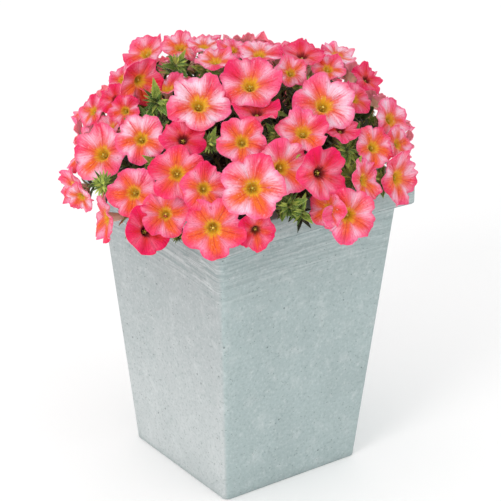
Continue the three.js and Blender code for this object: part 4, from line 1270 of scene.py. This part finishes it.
def tubeMesh(name, lines):  # smooth round stems along lines of (point, radius)
    curve = bpy.data.curves.new(name, "CURVE")
    curve.dimensions = "3D"
    curve.bevel_depth = 1
    curve.bevel_resolution = tubeShape["sides"]
    curve.resolution_u = tubeShape["steps"]
    curve.use_fill_caps = True
    for line in lines:
        spline = curve.splines.new("BEZIER")
        spline.bezier_points.add(len(line) - 1)
        for point, (place, radius) in zip(spline.bezier_points, line):
            point.co = place
            point.radius = radius
            point.handle_left_type = point.handle_right_type = "AUTO"
    tube = bpy.data.objects.new(name, curve)
    bpy.context.scene.collection.objects.link(tube)
    bpy.context.view_layer.update()
    mesh = bpy.data.meshes.new_from_object(tube.evaluated_get(bpy.context.evaluated_depsgraph_get()))
    bpy.data.objects.remove(tube)
    bm = bmesh.new()
    bm.from_mesh(mesh)
    bpy.data.meshes.remove(mesh)
    bmesh.ops.remove_doubles(bm, verts=bm.verts[:], dist=tubeShape["weld"])  # joins the caps to their tubes
    return meshOf(name, bm)


def stemLines(shoot):
    stem = zip(shoot["stem"], stemShape["taper"])
    lines = [[(place, stemShape["radius"] * taper) for place, taper in stem]]
    starts = {id(bloom["carried"]["path"]): bloom for bloom in shoot["calyxes"]}
    for path in shoot["stalks"]:
        line = [(place, stalkShape["radius"]) for place in path]
        bloom = starts.get(id(path))
        if bloom:  # the knot under the corolla, which the sepals stand on
            seat = bloomPoint(bloom, 0, 0, -bloomShape["tube"] * bloom["radius"] - bloomShape["fit"])
            line.insert(0, (seat, stalkShape["radius"] * tubeShape["knot"]))
        lines.append(line)
    return lines + shoot["youngStems"]


def sepalsOf(bloom):
    r = bloom["radius"]
    out, down = bloomShape["sepalTip"]
    foot = -bloomShape["tube"] * r - sepalShape["rootBelow"]
    sepals = []
    for k in range(bloomShape["lobes"]):
        angle = bloom["spin"] + fullTurn * k / bloomShape["lobes"]
        root = bloomPoint(bloom, sepalShape["rootOut"], angle, foot)
        line = bloomPoint(bloom, out * r, angle, down * r) - root
        sepals.append({"root": root, "along": line.normalized(), "up": -around(bloom["face"], angle),
                       "length": line.length * sepalShape["length"], "width": sepalShape["width"],
                       "age": sepalShape["age"], "thick": sepalShape["thickness"]})
    return sepals


def levelOf(point):  # 0 in the heart of the mound, 1 on its surface
    offset = point - mound["middle"]
    return math.hypot(offset.x / mound["radius"], offset.y / mound["radius"], offset.z / mound["height"])


def depthOf(leaf):  # how near its middle is to the mound's surface
    return levelOf(leaf["root"] + leaf["along"] * (fillShape["middle"] * leaf["length"]))


def clearOfPlanter(point):
    out = max(abs(point.x), abs(point.y))
    room = fillShape["lipRoom"]
    inner = bodyHalf(pot["bodyHeight"]) - pot["wall"] - pot["bow"] - room
    if out <= inner:
        return point.z >= soil["level"] + room
    return out >= lipHalf + room or point.z >= lipTop + room


def clearOfPetals(point, blooms, above):
    depth, power = fillShape["petalBowl"]
    for bloom in blooms:
        away = point - bloom["middle"]
        height = away.dot(bloom["face"])
        across = (away - bloom["face"] * height).length / bloom["radius"]
        surface = bloom["radius"] * -depth * (1 - min(across, 1)) ** power
        if across < fillShape["petalRoom"] and surface - fillShape["petalBelow"] < height < above:
            return False
    return True


def roomFor(leaf, blooms, depth, above):  # true where a further leaf clears the petals and the planter
    for along, across in fillShape["tested"]:
        sag = leafShape["droop"] * leaf["length"] * along ** leafShape["droopPower"]
        point = leaf["root"] + leaf["along"] * (along * leaf["length"])
        point = point + leaf["side"] * (across * leaf["width"]) - leaf["lift"] * sag
        if levelOf(point) > depth or not clearOfPlanter(point) or not clearOfPetals(point, blooms, above):
            return False
    return True


def fillLeaves(shoots, blooms):  # the rest of the foliage, on the same stems and stalks
    draw = seededDraw(fillShape["seed"])
    outward, more = fillShape["outward"]
    for shoot in shoots:
        lines = [(path, fillShape["perStalk"]) for path in shoot["stalks"]]
        lines.append((shoot["stem"][1:], fillShape["perStem"]))
        for path, count in lines:
            for _ in range(count):
                place = draw() * (len(path) - 1)
                part = min(int(place), len(path) - 2)
                root = path[part].lerp(path[part + 1], place - part)
                line = (path[part] - path[part + 1]).normalized()
                out = (root - plantHeart).normalized()
                up = out + Vector((0, 0, fillShape["faceUp"]))
                for _ in range(fillShape["tries"]):
                    away = around(line, fullTurn * draw())
                    along = away + out * (outward + more * draw())
                    along = (along + Vector((0, 0, fillShape["upward"] * draw()))).normalized()
                    length = lerp(*fillShape["length"], draw())
                    leaf = {"root": root, "along": along, "up": up - along * up.dot(along), "length": length,
                            "width": fillShape["slimness"] * length}
                    lit = smooth(*fillShape["shade"], depthOf(leaf))
                    leaf["age"] = lerp(*fillShape["agesByShade"], lit)  # leaves deep in the mound are older, and are painted darker still as shade
                    leafTip(leaf)
                    if roomFor(leaf, blooms, fillShape["depth"], fillShape["above"]):
                        shoot["further"].append(leaf)
                        break


def tuftLeaves(tips, blooms):  # narrow young leaves up the end of each leafy shoot
    draw = seededDraw(fillShape["seed"] + 1)
    narrow, wider = tuftShape["spread"]
    for tip in tips:
        if not tip["carried"]:
            continue
        shoot = tip["carried"]["shoot"]
        isYoung = "youngOut" in tip
        young = tip["youngOut"] if isYoung else tip["out"]
        room = tuftShape["youngRoom" if isYoung else "room"]
        end = tip["point"] + young * tip["further"]
        stem = [(tip["point"] - tip["out"], stalkShape["radius"]), (end, tuftShape["tipRadius"])]
        shoot["youngStems"].append(stem)
        for k in range(tuftShape["leaves"]):
            away = around(young, leafShape["turn"] * k + tuftShape["turn"])
            share = k / tuftShape["leaves"]
            root = end - young * (share * min(tip["further"], tuftShape["along"]) + tuftShape["rootIn"])
            along = (young + away * (narrow + wider * share)).normalized()
            for size in tuftShape["sizes"]:
                length = tip["length"] * tuftShape["length"] * size * lerp(*tuftShape["lengths"], draw())
                age = (0 if isYoung else tuftShape["age"]) + tuftShape["ageChance"] * draw()
                leaf = {"root": root, "along": along, "up": young - away, "length": length,
                        "width": tuftShape["slimness"] * length, "age": age + tuftShape["ageDown"] * share,
                        "thick": tuftShape["thickness"]}
                leafTip(leaf)
                if roomFor(leaf, blooms, *room):
                    shoot["further"].append(leaf)
                    break


def makeShoots(shoots, blooms, tips):
    fillLeaves(shoots, blooms)
    tuftLeaves(tips, blooms)
    fine = leafTemplate(*bladeShape["fine"])
    plain = leafTemplate(*bladeShape["plain"])
    bare = leafTemplate(*bladeShape["bare"], hairy=False)
    narrow = leafTemplate(*sepalShape["grid"], hairy=False)
    look = seededDraw(fillShape["lookSeed"])
    for shoot in shoots:
        bm = bmesh.new()
        tubes = tubeMesh("stalkLines", stemLines(shoot))
        bm.from_mesh(tubes)
        bpy.data.meshes.remove(tubes)
        for face in bm.faces:
            face.material_index = 1
        for leaf in shoot["leaves"]:
            addLeaf(bm, fine, {**leaf, "width": leaf["width"] * bladeShape["trim"]}, look(), 0)
        for leaf in shoot["further"]:
            shaded = depthOf(leaf) < fillShape["bareBelow"]
            addLeaf(bm, bare if shaded else plain, leaf, look(), 0)
        for bloom in shoot["calyxes"]:
            for sepal in sepalsOf(bloom):
                addLeaf(bm, narrow, sepal, look(), 2)
        name = shoot["node"].replace("shoot", "leafyShoot")
        green = newObject(name, bm, finishes["leaf"], finishes["stalk"], finishes["sepal"])
        declare(green, shoot["node"])
    for template in (fine, plain, bare, narrow):
        bpy.data.meshes.remove(template)
    print("further leaves:", sum(len(shoot["further"]) for shoot in shoots))


makeShoots(shoots, blooms, tips)
print("shoots made:", len(shoots))
